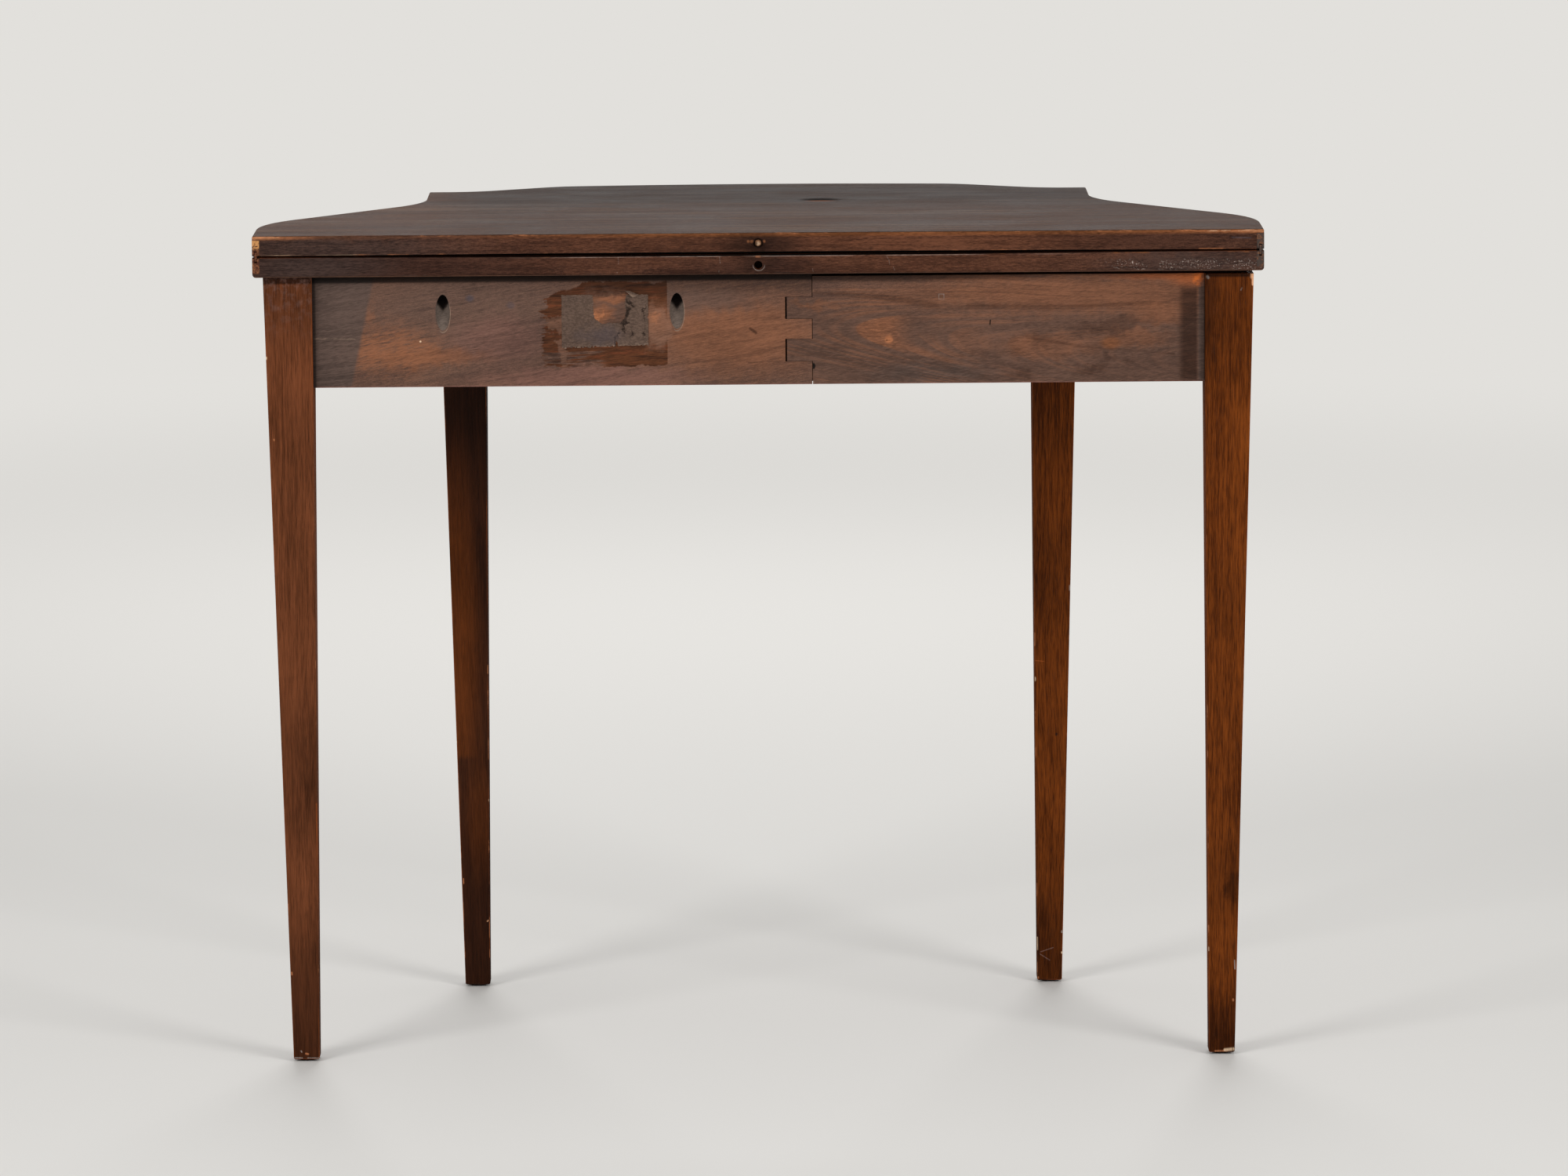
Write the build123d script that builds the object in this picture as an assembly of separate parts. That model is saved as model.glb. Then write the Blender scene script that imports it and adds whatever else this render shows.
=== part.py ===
from build123d import *
import math
import os

# Fold-top games table with a swinging fly leg, in millimetres.
#
# The table stands closed against a wall. Two leaves of one outline lie one on the other, and a
# bow-fronted frame carries them on four tapered legs. One back leg rides on a fly rail, which
# turns on a wooden knuckle joint: it swings out behind the table and holds up the opened leaf.
# Brass card-table hinges join the leaves at their back corners. Their straps are let into the
# side edges, and a short link turns on a pin in each strap, so that nothing stands above the
# opened top.
#
# Frame: +Z up, the floor at zero, the bowed front towards -Y and the straight back towards +Y.
# Right and left are those of someone who stands in front. The origin is under the middle of the
# closed table, the peg in its back edge included.

# Leaves
table_height = 762.0
leaf_width = 914.0
leaf_depth = 452.0
leaf_thickness = 18.3
meeting_edge_round = 1.2
lower_edge_round = 3.0
top_edge_round = 1.6
leaf_corner_round = 1.6

# Outline of the leaves: shares of the half width and of the depth, from the back edge forwards
side_bend_depth_share = 0.245
corner_width_share = 0.683
side_hollow_depth_share = 0.636
corner_depth_share = 0.873
front_hollow_width_share = 0.5895
bow_end_width_share = 0.4136
bow_end_depth_share = 0.976
bow_crown_depth_share = 1.016
side_bend_radius = 130.0
side_hollow_radius = 115.0
front_hollow_radius = 88.0
bow_end_radius = 80.0

# Frame
apron_inset = 13.5
rail_height = 101.6
rail_thickness = 22.0
back_rail_inset = 12.0
knuckle_rail_thickness = 23.0
tenon_thickness = 8.0
tenon_length = 20.0
tenon_shoulder = 10.0
joint_clearance = 0.1

# Legs and their glides
leg_width = 44.0
foot_width = 23.7
leg_outer_taper = 16.2
leg_face_taper = 5.7
leg_side_inset = 9.0
leg_back_inset = 5.0
front_leg_inset = 9.7
leg_edge_round = 1.0
foot_chamfer = 1.0
glide_height = 2.0
glide_radius = 8.2
glide_edge_chamfer = 1.2
glide_nail_radius = 1.3
glide_nail_length = 14.0

# Fly rail and its knuckle joint
knuckle_offset = 36.7
finger_height_shares = (0.216, 0.197, 0.180, 0.202, 0.205)
finger_clearance = 0.3
fly_end_gap = 1.2
fixed_end_gap = 0.6
fly_back_clearance = 0.6
fly_stop_clearance = 0.3
fly_top_drop = 3.2
fly_shoulder_drop = 1.0
knuckle_pin_radius = 3.0
knuckle_pin_clearance = 0.1
knuckle_pin_recess = 2.0

# Dovetails at the frame's free back corner
dovetail_count = 3
dovetail_neck = 18.0
dovetail_flare = 3.0
dovetail_lap = 5.0

# Screws that hold the top, in gouged pockets
pocket_radius = 6.5
pocket_tilt = 22.5
pocket_top_drop = 17.6
pocket_seat_depth = 8.5
top_screw_radius = 2.2
top_screw_head_radius = 4.2
top_screw_head_height = 2.6
screw_bite_share = 0.72
back_pocket_far = 286.0
back_pocket_near = 74.0
front_pocket_offset = 110.0
side_pocket_setback = 14.0

# Rubbed glue blocks
glue_block_length = 70.0
glue_block_size = 18.0
glue_block_spacing = 230.0
corner_block_size = 34.0
corner_block_drop = 12.0

# Card-table hinges
strap_thickness = 6.5
strap_length = 58.0
strap_reach = 14.5
strap_bar_width = 9.0
strap_head_length = 11.0
strap_clearance = 0.1
pin_setback = 2.4
link_centres = 6.1
link_end_radius = 2.1
link_thickness = 2.0
link_slot_clearance = 0.3
hinge_pin_radius = 1.0
hinge_pin_clearance = 0.04
hinge_pin_recess = 0.2
hinge_screw_count = 2
hinge_screw_first = 22.0
hinge_screw_spacing = 24.0
hinge_screw_radius = 1.5
hinge_screw_head_radius = 3.1
hinge_screw_head_height = 2.4
hinge_screw_length = 18.0
hinge_screw_recess = 0.3

# Peg that lines up the opened leaves, and the hole that it enters
peg_radius = 2.8
peg_tip_radius = 2.1
peg_projection = 6.0
peg_embedded = 14.0
peg_height = 9.0
peg_clearance = 0.05
peg_tip_chamfer = 0.9
peg_mouth_radius = 4.4
peg_mouth_depth = 1.2
peg_hole_radius = 3.8
peg_hole_drop = 9.8
peg_hole_depth = 13.0

# One overrun serves every cut that runs out of its piece
overrun = 5.0

# Levels and places worked out from the sizes above
half_width = leaf_width / 2
back_edge = (leaf_depth - peg_projection) / 2
leaf_gap = link_centres - 2 * pin_setback
folding_leaf_bottom = table_height - leaf_thickness
fixed_leaf_top = folding_leaf_bottom - leaf_gap
frame_top = fixed_leaf_top - leaf_thickness
rail_bottom = frame_top - rail_height
corner_x = corner_width_share * half_width
corner_depth = corner_depth_share * leaf_depth
crown_depth = bow_crown_depth_share * leaf_depth
bow_end_x = bow_end_width_share * half_width
bow_end_depth = bow_end_depth_share * leaf_depth
bow_slope = math.atan2(crown_depth - bow_end_depth, bow_end_x)
bow_radius = (crown_depth - leaf_depth) / (1 / math.cos(bow_slope) - 1)
leg_outer_x = half_width - leg_side_inset
leg_inner_x = leg_outer_x - leg_width
leg_back_y = back_edge - leg_back_inset
leg_front_y = leg_back_y - leg_width
front_leg_outer_x = corner_x - front_leg_inset
front_leg_inner_x = front_leg_outer_x - leg_width
front_leg_front_y = back_edge - corner_depth + front_leg_inset
front_leg_back_y = front_leg_front_y + leg_width
apron_outer_x = half_width - apron_inset
apron_inner_x = apron_outer_x - rail_thickness
knuckle_back_y = back_edge - back_rail_inset
knuckle_front_y = knuckle_back_y - knuckle_rail_thickness
inner_rail_front_y = knuckle_front_y - rail_thickness
inner_tenon_y = leg_front_y + tenon_thickness
fly_front_y = knuckle_front_y + fly_back_clearance
fly_top = frame_top - fly_top_drop
pivot_x = -knuckle_offset
pivot_y = (knuckle_back_y + knuckle_front_y) / 2
finger_count = len(finger_height_shares)
finger_levels = [frame_top - rail_height * sum(finger_height_shares[:i]) for i in range(finger_count + 1)]
finger_reach = knuckle_rail_thickness / 2
fly_reach = finger_reach - fly_stop_clearance

# Signs of X for the two sides, and of Z for the leaf below or above the gap
left, right = -1, 1
lower, upper = -1, 1
side_names = {left: "left", right: "right"}
leaf_names = {lower: "lower", upper: "upper"}


def block(x0, x1, y0, y1, z0, z1):
    """A box between two values on each axis, given in either order."""
    low = (min(x0, x1), min(y0, y1), min(z0, z1))
    size = (abs(x1 - x0), abs(y1 - y0), abs(z1 - z0))
    return Pos(*low) * Box(*size, align=(Align.MIN, Align.MIN, Align.MIN))


def rod(radius, start, end):
    """A round bar from one point to another."""
    start, end = Vector(*start), Vector(*end)
    return extrude(Plane(origin=start, z_dir=end - start) * Circle(radius), (end - start).length)


def cone(start_radius, end_radius, start, end):
    """A round bar whose radius changes from one end to the other."""
    start, end = Vector(*start), Vector(*end)
    foot = Plane(origin=start, z_dir=end - start)
    head = foot.offset((end - start).length)
    return loft([(foot * Circle(start_radius)).face(), (head * Circle(end_radius)).face()])


def plate(*points):
    """A flat face through its corners."""
    return make_face(Polyline(*points, close=True))


def save(node, *solids):
    """Writes one sub-part, whose file name is its node's name."""
    made = Compound(children=[each for solid in solids for each in solid.solids()])
    export_step(made, os.path.join("parts", node + ".step"))


# Outline of the leaves and of the apron under them

def leaf_outline(corner_round):
    """Straight back, ends that swell and then hollow to a square corner, and a bowed front."""
    half = [
        (half_width, 0, corner_round),
        (half_width, side_bend_depth_share * leaf_depth, side_bend_radius),
        (corner_x, side_hollow_depth_share * leaf_depth, side_hollow_radius),
        (corner_x, corner_depth, corner_round),
        (front_hollow_width_share * half_width, corner_depth, front_hollow_radius),
        (bow_end_x, bow_end_depth, bow_end_radius),
    ]
    mirrored = [(-x, depth, radius) for x, depth, radius in reversed(half)]
    corners = half + [(0, crown_depth, bow_radius)] + mirrored
    points = [(x, back_edge - depth) for x, depth, radius in corners]
    radii = [radius for x, depth, radius in corners]
    return make_face(FilletPolyline(*points, radius=radii, close=True))


def apron_plan(inset):
    return offset(leaf_outline(0), -inset, kind=Kind.INTERSECTION)


def apron_wall():
    """A wall that follows the outline round the sides and the front, and is open at the back."""
    plan = apron_plan(apron_inset) - apron_plan(apron_inset + rail_thickness)
    wall = Pos(0, 0, rail_bottom) * extrude(plan, rail_height)
    back_strip = block(
        -apron_inner_x,
        apron_inner_x,
        back_edge,
        back_edge - apron_inset - rail_thickness,
        rail_bottom - overrun,
        frame_top + overrun,
    )
    return wall - back_strip


def bow_inner_y(x):
    """Y of the bowed rail's inner face."""
    inner_radius = bow_radius - apron_inset - rail_thickness
    return back_edge - leaf_depth + bow_radius - math.sqrt(inner_radius**2 - x**2)


# Leaves

def rim(board, level):
    return board.edges().filter_by_position(Axis.Z, level, level)


def leaf_board(bottom, eased_level, eased_round, meeting_level):
    """A leaf eased round its show edge, and slightly rounded where its back edge meets the other leaf."""
    board = Pos(0, 0, bottom) * extrude(leaf_outline(leaf_corner_round), leaf_thickness)
    back = back_edge - leaf_corner_round
    board = fillet(rim(board, meeting_level).sort_by(Axis.Y)[-1:], meeting_edge_round)
    return fillet([edge for edge in rim(board, eased_level) if edge.center().Y < back], eased_round)


def peg_line_z():
    return folding_leaf_bottom + peg_height


def make_leaves(pockets):
    fixed = leaf_board(frame_top, frame_top, lower_edge_round, fixed_leaf_top)
    hole_z = fixed_leaf_top - peg_hole_drop
    fixed -= rod(peg_hole_radius, (0, back_edge - peg_hole_depth, hole_z), (0, back_edge + overrun, hole_z))
    for side in (left, right):
        fixed -= strap_housing(side, lower)
    for pocket in pockets:
        fixed -= pocket.pilot()
    save("fixed_leaf", fixed)

    folding = leaf_board(folding_leaf_bottom, table_height, top_edge_round, folding_leaf_bottom)
    socket_end = back_edge - peg_embedded - peg_clearance
    folding -= rod(peg_radius + peg_clearance, (0, socket_end, peg_line_z()), (0, back_edge, peg_line_z()))
    mouth_start = (0, back_edge - peg_mouth_depth, peg_line_z())
    folding -= cone(peg_radius + peg_clearance, peg_mouth_radius, mouth_start, (0, back_edge, peg_line_z()))
    for side in (left, right):
        folding -= strap_housing(side, upper)
    save("folding_leaf", folding)


def make_peg():
    """A dowel whose free end tapers to an eased tip."""
    shank_start = (0, back_edge - peg_embedded, peg_line_z())
    root = (0, back_edge, peg_line_z())
    tip_end = (0, back_edge + peg_projection, peg_line_z())
    tip = cone(peg_radius, peg_tip_radius, root, tip_end)
    tip = chamfer(tip.edges().sort_by(Axis.Y)[-1:], peg_tip_chamfer)
    save("leaf_peg", rod(peg_radius, shank_start, root) + tip)


# Card-table hinges. A depth is counted from the back edge, and a reach from the leaf's meeting
# face into the leaf.

def hinge_point(depth, reach, leaf):
    """Y and Z of a place in the leaf's side edge."""
    meeting_face = folding_leaf_bottom if leaf == upper else fixed_leaf_top
    return (back_edge - depth, meeting_face + leaf * reach)


def side_plate(side, inset, thickness, profile):
    """A profile in Y and Z, made into a plate that lies so far inside the leaf's side edge."""
    plane = Plane(origin=(side * (half_width - inset), 0, 0), x_dir=(0, 1, 0), z_dir=(1, 0, 0))
    return extrude(plane * profile, -side * thickness)


def hinge_rectangle(depths, reaches, leaf):
    corners = [
        (depths[0], reaches[0]), (depths[1], reaches[0]), (depths[1], reaches[1]), (depths[0], reaches[1])
    ]
    return plate(*[hinge_point(depth, reach, leaf) for depth, reach in corners])


def hinge_disc(depth, reach, leaf, radius):
    return Pos(*hinge_point(depth, reach, leaf)) * Circle(radius)


def strap_profile(leaf, growth):
    """A head that reaches the meeting face, and a bar that ends round."""
    bar_reach = strap_reach - strap_bar_width / 2
    bar_end = strap_length - strap_bar_width / 2
    bar_reaches = (strap_reach - strap_bar_width - growth, strap_reach + growth)
    head = hinge_rectangle((-growth, strap_head_length + growth), (-growth, strap_reach + growth), leaf)
    bar = hinge_rectangle((strap_head_length, bar_end), bar_reaches, leaf)
    return head + bar + hinge_disc(bar_end, bar_reach, leaf, strap_bar_width / 2 + growth)


def hinge_pin_bar(side, leaf, insets, radius):
    y, z = hinge_point(pin_setback, pin_setback, leaf)
    ends = [(side * (half_width - inset), y, z) for inset in insets]
    return rod(radius, *ends)


def hinge_screw_places(leaf):
    reach = strap_reach - strap_bar_width / 2
    depths = [hinge_screw_first + i * hinge_screw_spacing for i in range(hinge_screw_count)]
    return [hinge_point(depth, reach, leaf) for depth in depths]


def hinge_screw(side, place, growth):
    """A countersunk wood screw, its head just inside the strap's face."""
    head_x = half_width - hinge_screw_recess
    shank_x = head_x - hinge_screw_head_height
    tip_x = head_x - hinge_screw_length - growth
    points = [(side * x, *place) for x in (head_x, shank_x, tip_x)]
    head = cone(hinge_screw_head_radius + growth, hinge_screw_radius + growth, points[0], points[1])
    return head + rod(hinge_screw_radius + growth, points[1], points[2])


def hinge_screw_hole(side, place):
    """The screw's countersunk hole, open to the strap's face."""
    mouth = [(side * x, *place) for x in (half_width - hinge_screw_recess, half_width + overrun)]
    return hinge_screw(side, place, joint_clearance) + rod(hinge_screw_head_radius + joint_clearance, *mouth)


def link_slot(side, leaf):
    """Where the link turns in the strap's head: open to the back and to the other leaf."""
    size = pin_setback + link_end_radius + link_slot_clearance
    width = link_thickness + 2 * link_slot_clearance
    profile = hinge_rectangle((-overrun, size), (-overrun, size), leaf)
    return side_plate(side, (strap_thickness - width) / 2, width, profile)


def knuckle_corner(side, leaf):
    """What is cut off the strap's corner, so that it is round about the pin."""
    square = hinge_rectangle((-overrun, pin_setback), (-overrun, pin_setback), leaf)
    profile = square - hinge_disc(pin_setback, pin_setback, leaf, pin_setback)
    return side_plate(side, -overrun, strap_thickness + 2 * overrun, profile)


def hinge_strap(side, leaf):
    strap = side_plate(side, 0, strap_thickness, strap_profile(leaf, 0))
    strap -= knuckle_corner(side, leaf)
    strap -= link_slot(side, leaf)
    bore_insets = (-overrun, strap_thickness + overrun)
    strap -= hinge_pin_bar(side, leaf, bore_insets, hinge_pin_radius + hinge_pin_clearance)
    for place in hinge_screw_places(leaf):
        strap -= hinge_screw_hole(side, place)
    return strap


def strap_housing(side, leaf):
    """The strap's bed in the leaf, open at the side edge, with the screws' pilot holes."""
    thickness = strap_thickness + strap_clearance + overrun
    bed = side_plate(side, -overrun, thickness, strap_profile(leaf, strap_clearance))
    for place in hinge_screw_places(leaf):
        bed += hinge_screw(side, place, joint_clearance)
    return bed


def hinge_link(side):
    """The short round-ended plate that joins the two pins."""
    y = back_edge - pin_setback
    ends = [hinge_point(pin_setback, pin_setback, leaf)[1] for leaf in (lower, upper)]
    profile = plate(
        (y - link_end_radius, ends[0]),
        (y + link_end_radius, ends[0]),
        (y + link_end_radius, ends[1]),
        (y - link_end_radius, ends[1]),
    )
    for leaf in (lower, upper):
        profile += hinge_disc(pin_setback, pin_setback, leaf, link_end_radius)
    for leaf in (lower, upper):
        profile -= hinge_disc(pin_setback, pin_setback, leaf, hinge_pin_radius + hinge_pin_clearance)
    return side_plate(side, (strap_thickness - link_thickness) / 2, link_thickness, profile)


def make_hinges():
    for side, side_name in side_names.items():
        save(f"hinge_link_{side_name}", hinge_link(side))
        for leaf, leaf_name in leaf_names.items():
            insets = (hinge_pin_recess, strap_thickness)
            screws = [hinge_screw(side, place, 0) for place in hinge_screw_places(leaf)]
            save(f"hinge_{leaf_name}_strap_{side_name}", hinge_strap(side, leaf))
            save(f"hinge_{leaf_name}_pin_{side_name}", hinge_pin_bar(side, leaf, insets, hinge_pin_radius))
            save(f"hinge_{leaf_name}_screws_{side_name}", *screws)


# Tenons, each grown by the clearance when it cuts its mortise

def tenon(x_ends, y_ends, growth):
    low = rail_bottom + tenon_shoulder - growth
    high = frame_top - tenon_shoulder + growth
    return block(*x_ends, *y_ends, low, high)


def tenon_along_x(shoulder_x, direction, middle_y, growth):
    half = tenon_thickness / 2 + growth
    end_x = shoulder_x + direction * (tenon_length + growth)
    return tenon((shoulder_x, end_x), (middle_y - half, middle_y + half), growth)


def tenon_along_y(middle_x, shoulder_y, direction, growth):
    half = tenon_thickness / 2 + growth
    end_y = shoulder_y + direction * (tenon_length + growth)
    return tenon((middle_x - half, middle_x + half), (shoulder_y, end_y), growth)


def knuckle_rail_tenon(growth):
    return tenon_along_x(leg_inner_x, right, pivot_y, growth)


def inner_rail_tenon(growth):
    return tenon_along_x(leg_inner_x, right, inner_tenon_y, growth)


def fly_rail_tenon(growth):
    return tenon_along_x(-leg_inner_x, left, (knuckle_back_y + fly_front_y) / 2, growth)


def side_rail_back_tenon(growth):
    return tenon_along_y(apron_outer_x - rail_thickness / 2, leg_front_y, 1, growth)


def side_rail_front_tenon(side, growth):
    return tenon_along_y(side * (corner_x - apron_inset - rail_thickness / 2), front_leg_back_y, -1, growth)


def front_rail_tenon(side, growth):
    middle_y = back_edge - corner_depth + apron_inset + rail_thickness / 2
    return tenon_along_x(side * front_leg_inner_x, side, middle_y, growth)


# Legs

def leg_section(side, outer_x, face_y, outward, level, inset):
    """The leg's rounded square at one level. The show face looks back (outward 1) or to the front (-1)."""
    share = (frame_top - level) / (frame_top - glide_height)
    outer = outer_x - leg_outer_taper * share
    face = face_y - outward * leg_face_taper * share
    if level < rail_bottom:
        inner, hidden = outer - foot_width, face - outward * foot_width
    else:
        inner, hidden = outer_x - leg_width, face_y - outward * leg_width
    x_ends = (side * (outer - inset), side * (inner + inset))
    y_ends = (face - outward * inset, hidden + outward * inset)
    corners = [(x_ends[0], y_ends[0]), (x_ends[0], y_ends[1]), (x_ends[1], y_ends[1]), (x_ends[1], y_ends[0])]
    square = Pos(0, 0, level) * plate(*corners)
    return fillet(square.vertices(), leg_edge_round)


def leg_blank(side, outer_x, face_y, outward):
    """Square where the rails meet it, and tapered below them to a small foot with an eased edge."""
    levels = [(frame_top, 0), (rail_bottom, 0), (glide_height + foot_chamfer, 0), (glide_height, foot_chamfer)]
    sections = [leg_section(side, outer_x, face_y, outward, *level) for level in levels]
    return loft(sections[:2], ruled=True) + loft(sections[1:], ruled=True)


def foot_middle(side, outer_x, face_y, outward):
    x = side * (outer_x - leg_outer_taper - foot_width / 2)
    return x, face_y - outward * (leg_face_taper + foot_width / 2)


def glide(x, y):
    """A steel glide with an eased rim, on its nail."""
    disc = rod(glide_radius, (x, y, 0), (x, y, glide_height))
    disc = chamfer(rim(disc, 0), glide_edge_chamfer)
    return disc + rod(glide_nail_radius, (x, y, glide_height), (x, y, glide_height + glide_nail_length))


def nail_hole(x, y):
    end = glide_height + glide_nail_length + joint_clearance
    return rod(glide_nail_radius + joint_clearance, (x, y, glide_height), (x, y, end))


def fly_leg_notches():
    """What lets the fly leg's top pass behind the frame's corner and under the leaf."""
    x_ends = (-leg_outer_x - overrun, -leg_inner_x + overrun)
    front = block(
        *x_ends, fly_front_y, leg_front_y - overrun, rail_bottom - fly_shoulder_drop, frame_top + overrun
    )
    top = block(*x_ends, leg_front_y - overrun, leg_back_y + overrun, fly_top, frame_top + overrun)
    return front + top


def make_legs():
    fixed_place = (right, leg_outer_x, leg_back_y, 1)
    fixed = leg_blank(*fixed_place)
    fixed -= knuckle_rail_tenon(joint_clearance)
    fixed -= inner_rail_tenon(joint_clearance)
    fixed -= side_rail_back_tenon(joint_clearance)
    save("fixed_back_leg", fixed - nail_hole(*foot_middle(*fixed_place)))
    save("fixed_back_glide", glide(*foot_middle(*fixed_place)))

    fly_place = (left, leg_outer_x, leg_back_y, 1)
    fly = leg_blank(*fly_place) - fly_leg_notches() - fly_rail_tenon(joint_clearance)
    save("fly_leg", fly - nail_hole(*foot_middle(*fly_place)))
    save("fly_leg_glide", glide(*foot_middle(*fly_place)))

    for side, name in side_names.items():
        place = (side, front_leg_outer_x, front_leg_front_y, -1)
        leg = leg_blank(*place)
        leg -= side_rail_front_tenon(side, joint_clearance)
        leg -= front_rail_tenon(side, joint_clearance)
        save(f"front_leg_{name}", leg - nail_hole(*foot_middle(*place)))
        save(f"front_leg_glide_{name}", glide(*foot_middle(*place)))


# Screws that hold the top

class Pocket:
    """A screw in a gouged pocket: the gouge starts in a rail's face and leans into the rail going up."""

    def __init__(self, x, y, inward_x, inward_y):
        tilt = math.radians(pocket_tilt)
        self.slant = math.sin(tilt)
        self.way = Vector(inward_x * self.slant, inward_y * self.slant, math.cos(tilt))
        mouth = Vector(x, y, frame_top - pocket_top_drop - pocket_radius / self.slant)
        self.seat = mouth + self.way * (pocket_seat_depth / self.slant)

    def screw_end(self):
        """Where the screw stops in the fixed leaf."""
        rise = frame_top + screw_bite_share * leaf_thickness - self.seat.Z
        return self.seat + self.way * (rise / self.way.Z)

    def screw(self):
        head = rod(top_screw_head_radius, self.seat - self.way * top_screw_head_height, self.seat)
        return head + rod(top_screw_radius, self.seat, self.screw_end())

    def pilot(self):
        return rod(top_screw_radius + joint_clearance, self.seat, self.screw_end() + self.way * joint_clearance)

    def gouge(self):
        """The pocket, and the screw's hole on up through the rail's top edge."""
        run_out = (pocket_seat_depth + 2 * pocket_radius) / self.slant
        return rod(pocket_radius, self.seat - self.way * run_out, self.seat) + self.pilot()


back_pockets = [Pocket(x, knuckle_back_y, 0, -1) for x in (back_pocket_far, back_pocket_near)]
front_pockets = [Pocket(x, bow_inner_y(x), 0, -1) for x in (-front_pocket_offset, front_pocket_offset)]
side_pocket_x = corner_x - apron_inset - rail_thickness
side_pocket_y = front_leg_back_y + side_pocket_setback
side_pockets = {side: Pocket(side * side_pocket_x, side_pocket_y, side, 0) for side in (left, right)}
all_pockets = back_pockets + front_pockets + list(side_pockets.values())


# Rails of the frame

def dovetails(growth):
    """Tails on the inner rail's free end, which widen towards the side rail's outer face."""
    end_x = apron_outer_x - dovetail_lap + growth
    pitch = rail_height / dovetail_count
    tails = []
    for i in range(dovetail_count):
        middle = rail_bottom + pitch * (i + 1 / 2)
        neck = dovetail_neck / 2 + growth
        wide = neck + dovetail_flare
        corners = [
            (apron_inner_x, middle - neck),
            (end_x, middle - wide),
            (end_x, middle + wide),
            (apron_inner_x, middle + neck),
        ]
        face = plate(*[(-x, inner_rail_front_y, z) for x, z in corners])
        tails.append(extrude(face, rail_thickness, dir=(0, 1, 0)))
    return tails


def make_curved_rails():
    wall = apron_wall()
    low, high = rail_bottom - overrun, frame_top + overrun
    inner_x = side_pocket_x - overrun

    right_rail = wall & block(inner_x, half_width, leg_front_y, front_leg_back_y, low, high)
    right_rail += side_rail_back_tenon(0) + side_rail_front_tenon(right, 0)
    save("side_rail_right", right_rail - side_pockets[right].gouge())

    left_rail = wall & block(-inner_x, -half_width, knuckle_front_y, front_leg_back_y, low, high)
    for tail in dovetails(joint_clearance):
        left_rail -= tail
    left_rail += side_rail_front_tenon(left, 0)
    save("side_rail_left", left_rail - side_pockets[left].gouge())

    front_rail = wall & block(
        -front_leg_inner_x, front_leg_inner_x, front_leg_back_y, back_edge - leaf_depth, low, high
    )
    for pocket in front_pockets:
        front_rail -= pocket.gouge()
    save("front_rail", front_rail + front_rail_tenon(left, 0) + front_rail_tenon(right, 0))


def make_inner_back_rail():
    rail = block(-apron_inner_x, leg_inner_x, inner_rail_front_y, knuckle_front_y, rail_bottom, frame_top)
    for tail in dovetails(0):
        rail += tail
    save("inner_back_rail", rail + inner_rail_tenon(0))


# Knuckle joint

def upright(radius, low, high):
    """A round bar on the joint's axis."""
    return rod(radius, (pivot_x, pivot_y, low), (pivot_x, pivot_y, high))


def finger_space(index, cove_radius, towards):
    """What one rail gives up for the other's finger: a cove about the pin, and all beyond it."""
    high = finger_levels[index] + finger_clearance / 2
    low = finger_levels[index + 1] - finger_clearance / 2
    if index == 0:
        high += overrun
    if index == finger_count - 1:
        low -= overrun
    beyond = block(
        pivot_x,
        pivot_x + towards * (finger_reach + overrun),
        knuckle_front_y - overrun,
        knuckle_back_y + overrun,
        low,
        high,
    )
    return beyond + upright(cove_radius, low, high)


def knuckle_bore():
    return upright(knuckle_pin_radius + knuckle_pin_clearance, rail_bottom - overrun, frame_top + overrun)


def make_knuckle_rail():
    """The fixed half, glued to the inner rail, with the first, third and last finger."""
    rail = block(pivot_x - finger_reach, leg_inner_x, knuckle_front_y, knuckle_back_y, rail_bottom, frame_top)
    cove_radius = math.hypot(finger_reach, finger_reach + fly_end_gap)
    for index in range(1, finger_count, 2):
        rail -= finger_space(index, cove_radius, left)
    rail -= knuckle_bore()
    for pocket in back_pockets:
        rail -= pocket.gouge()
    save("knuckle_rail", rail + knuckle_rail_tenon(0))


def make_fly_rail():
    """The swinging half, with the fingers between, rounded where it turns against the inner rail."""
    rail = block(-leg_inner_x, pivot_x + fly_reach, fly_front_y, knuckle_back_y, rail_bottom, fly_top)
    cove_radius = math.hypot(finger_reach, finger_reach + fixed_end_gap)
    for index in range(0, finger_count, 2):
        rail -= finger_space(index, cove_radius, right)
    low, high = rail_bottom - overrun, frame_top + overrun
    square_end = block(pivot_x, pivot_x + fly_reach + overrun, pivot_y, fly_front_y - overrun, low, high)
    rail -= square_end - upright(pivot_y - fly_front_y, low, high)
    rail -= knuckle_bore()
    save("fly_rail", rail + fly_rail_tenon(0))


def make_knuckle_pin():
    save("knuckle_pin", upright(knuckle_pin_radius, rail_bottom, frame_top - knuckle_pin_recess))


# Glue blocks

def make_blocks():
    """Blocks rubbed into the angle of the inner rail and the top, and into the free corner."""
    names = ("left", "middle", "right")
    for i, name in enumerate(names):
        middle = (i - 1) * glue_block_spacing
        x_ends = (middle - glue_block_length / 2, middle + glue_block_length / 2)
        y_ends = (inner_rail_front_y - glue_block_size, inner_rail_front_y)
        save(f"glue_block_{name}", block(*x_ends, *y_ends, frame_top - glue_block_size, frame_top))

    low = rail_bottom + corner_block_drop
    triangle = plate(
        (-apron_inner_x, inner_rail_front_y, low),
        (-apron_inner_x + corner_block_size, inner_rail_front_y, low),
        (-apron_inner_x, inner_rail_front_y - corner_block_size, low),
    )
    corner_block = extrude(triangle, frame_top - low, dir=(0, 0, 1)) - apron_wall()
    save("corner_block", corner_block)


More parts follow.
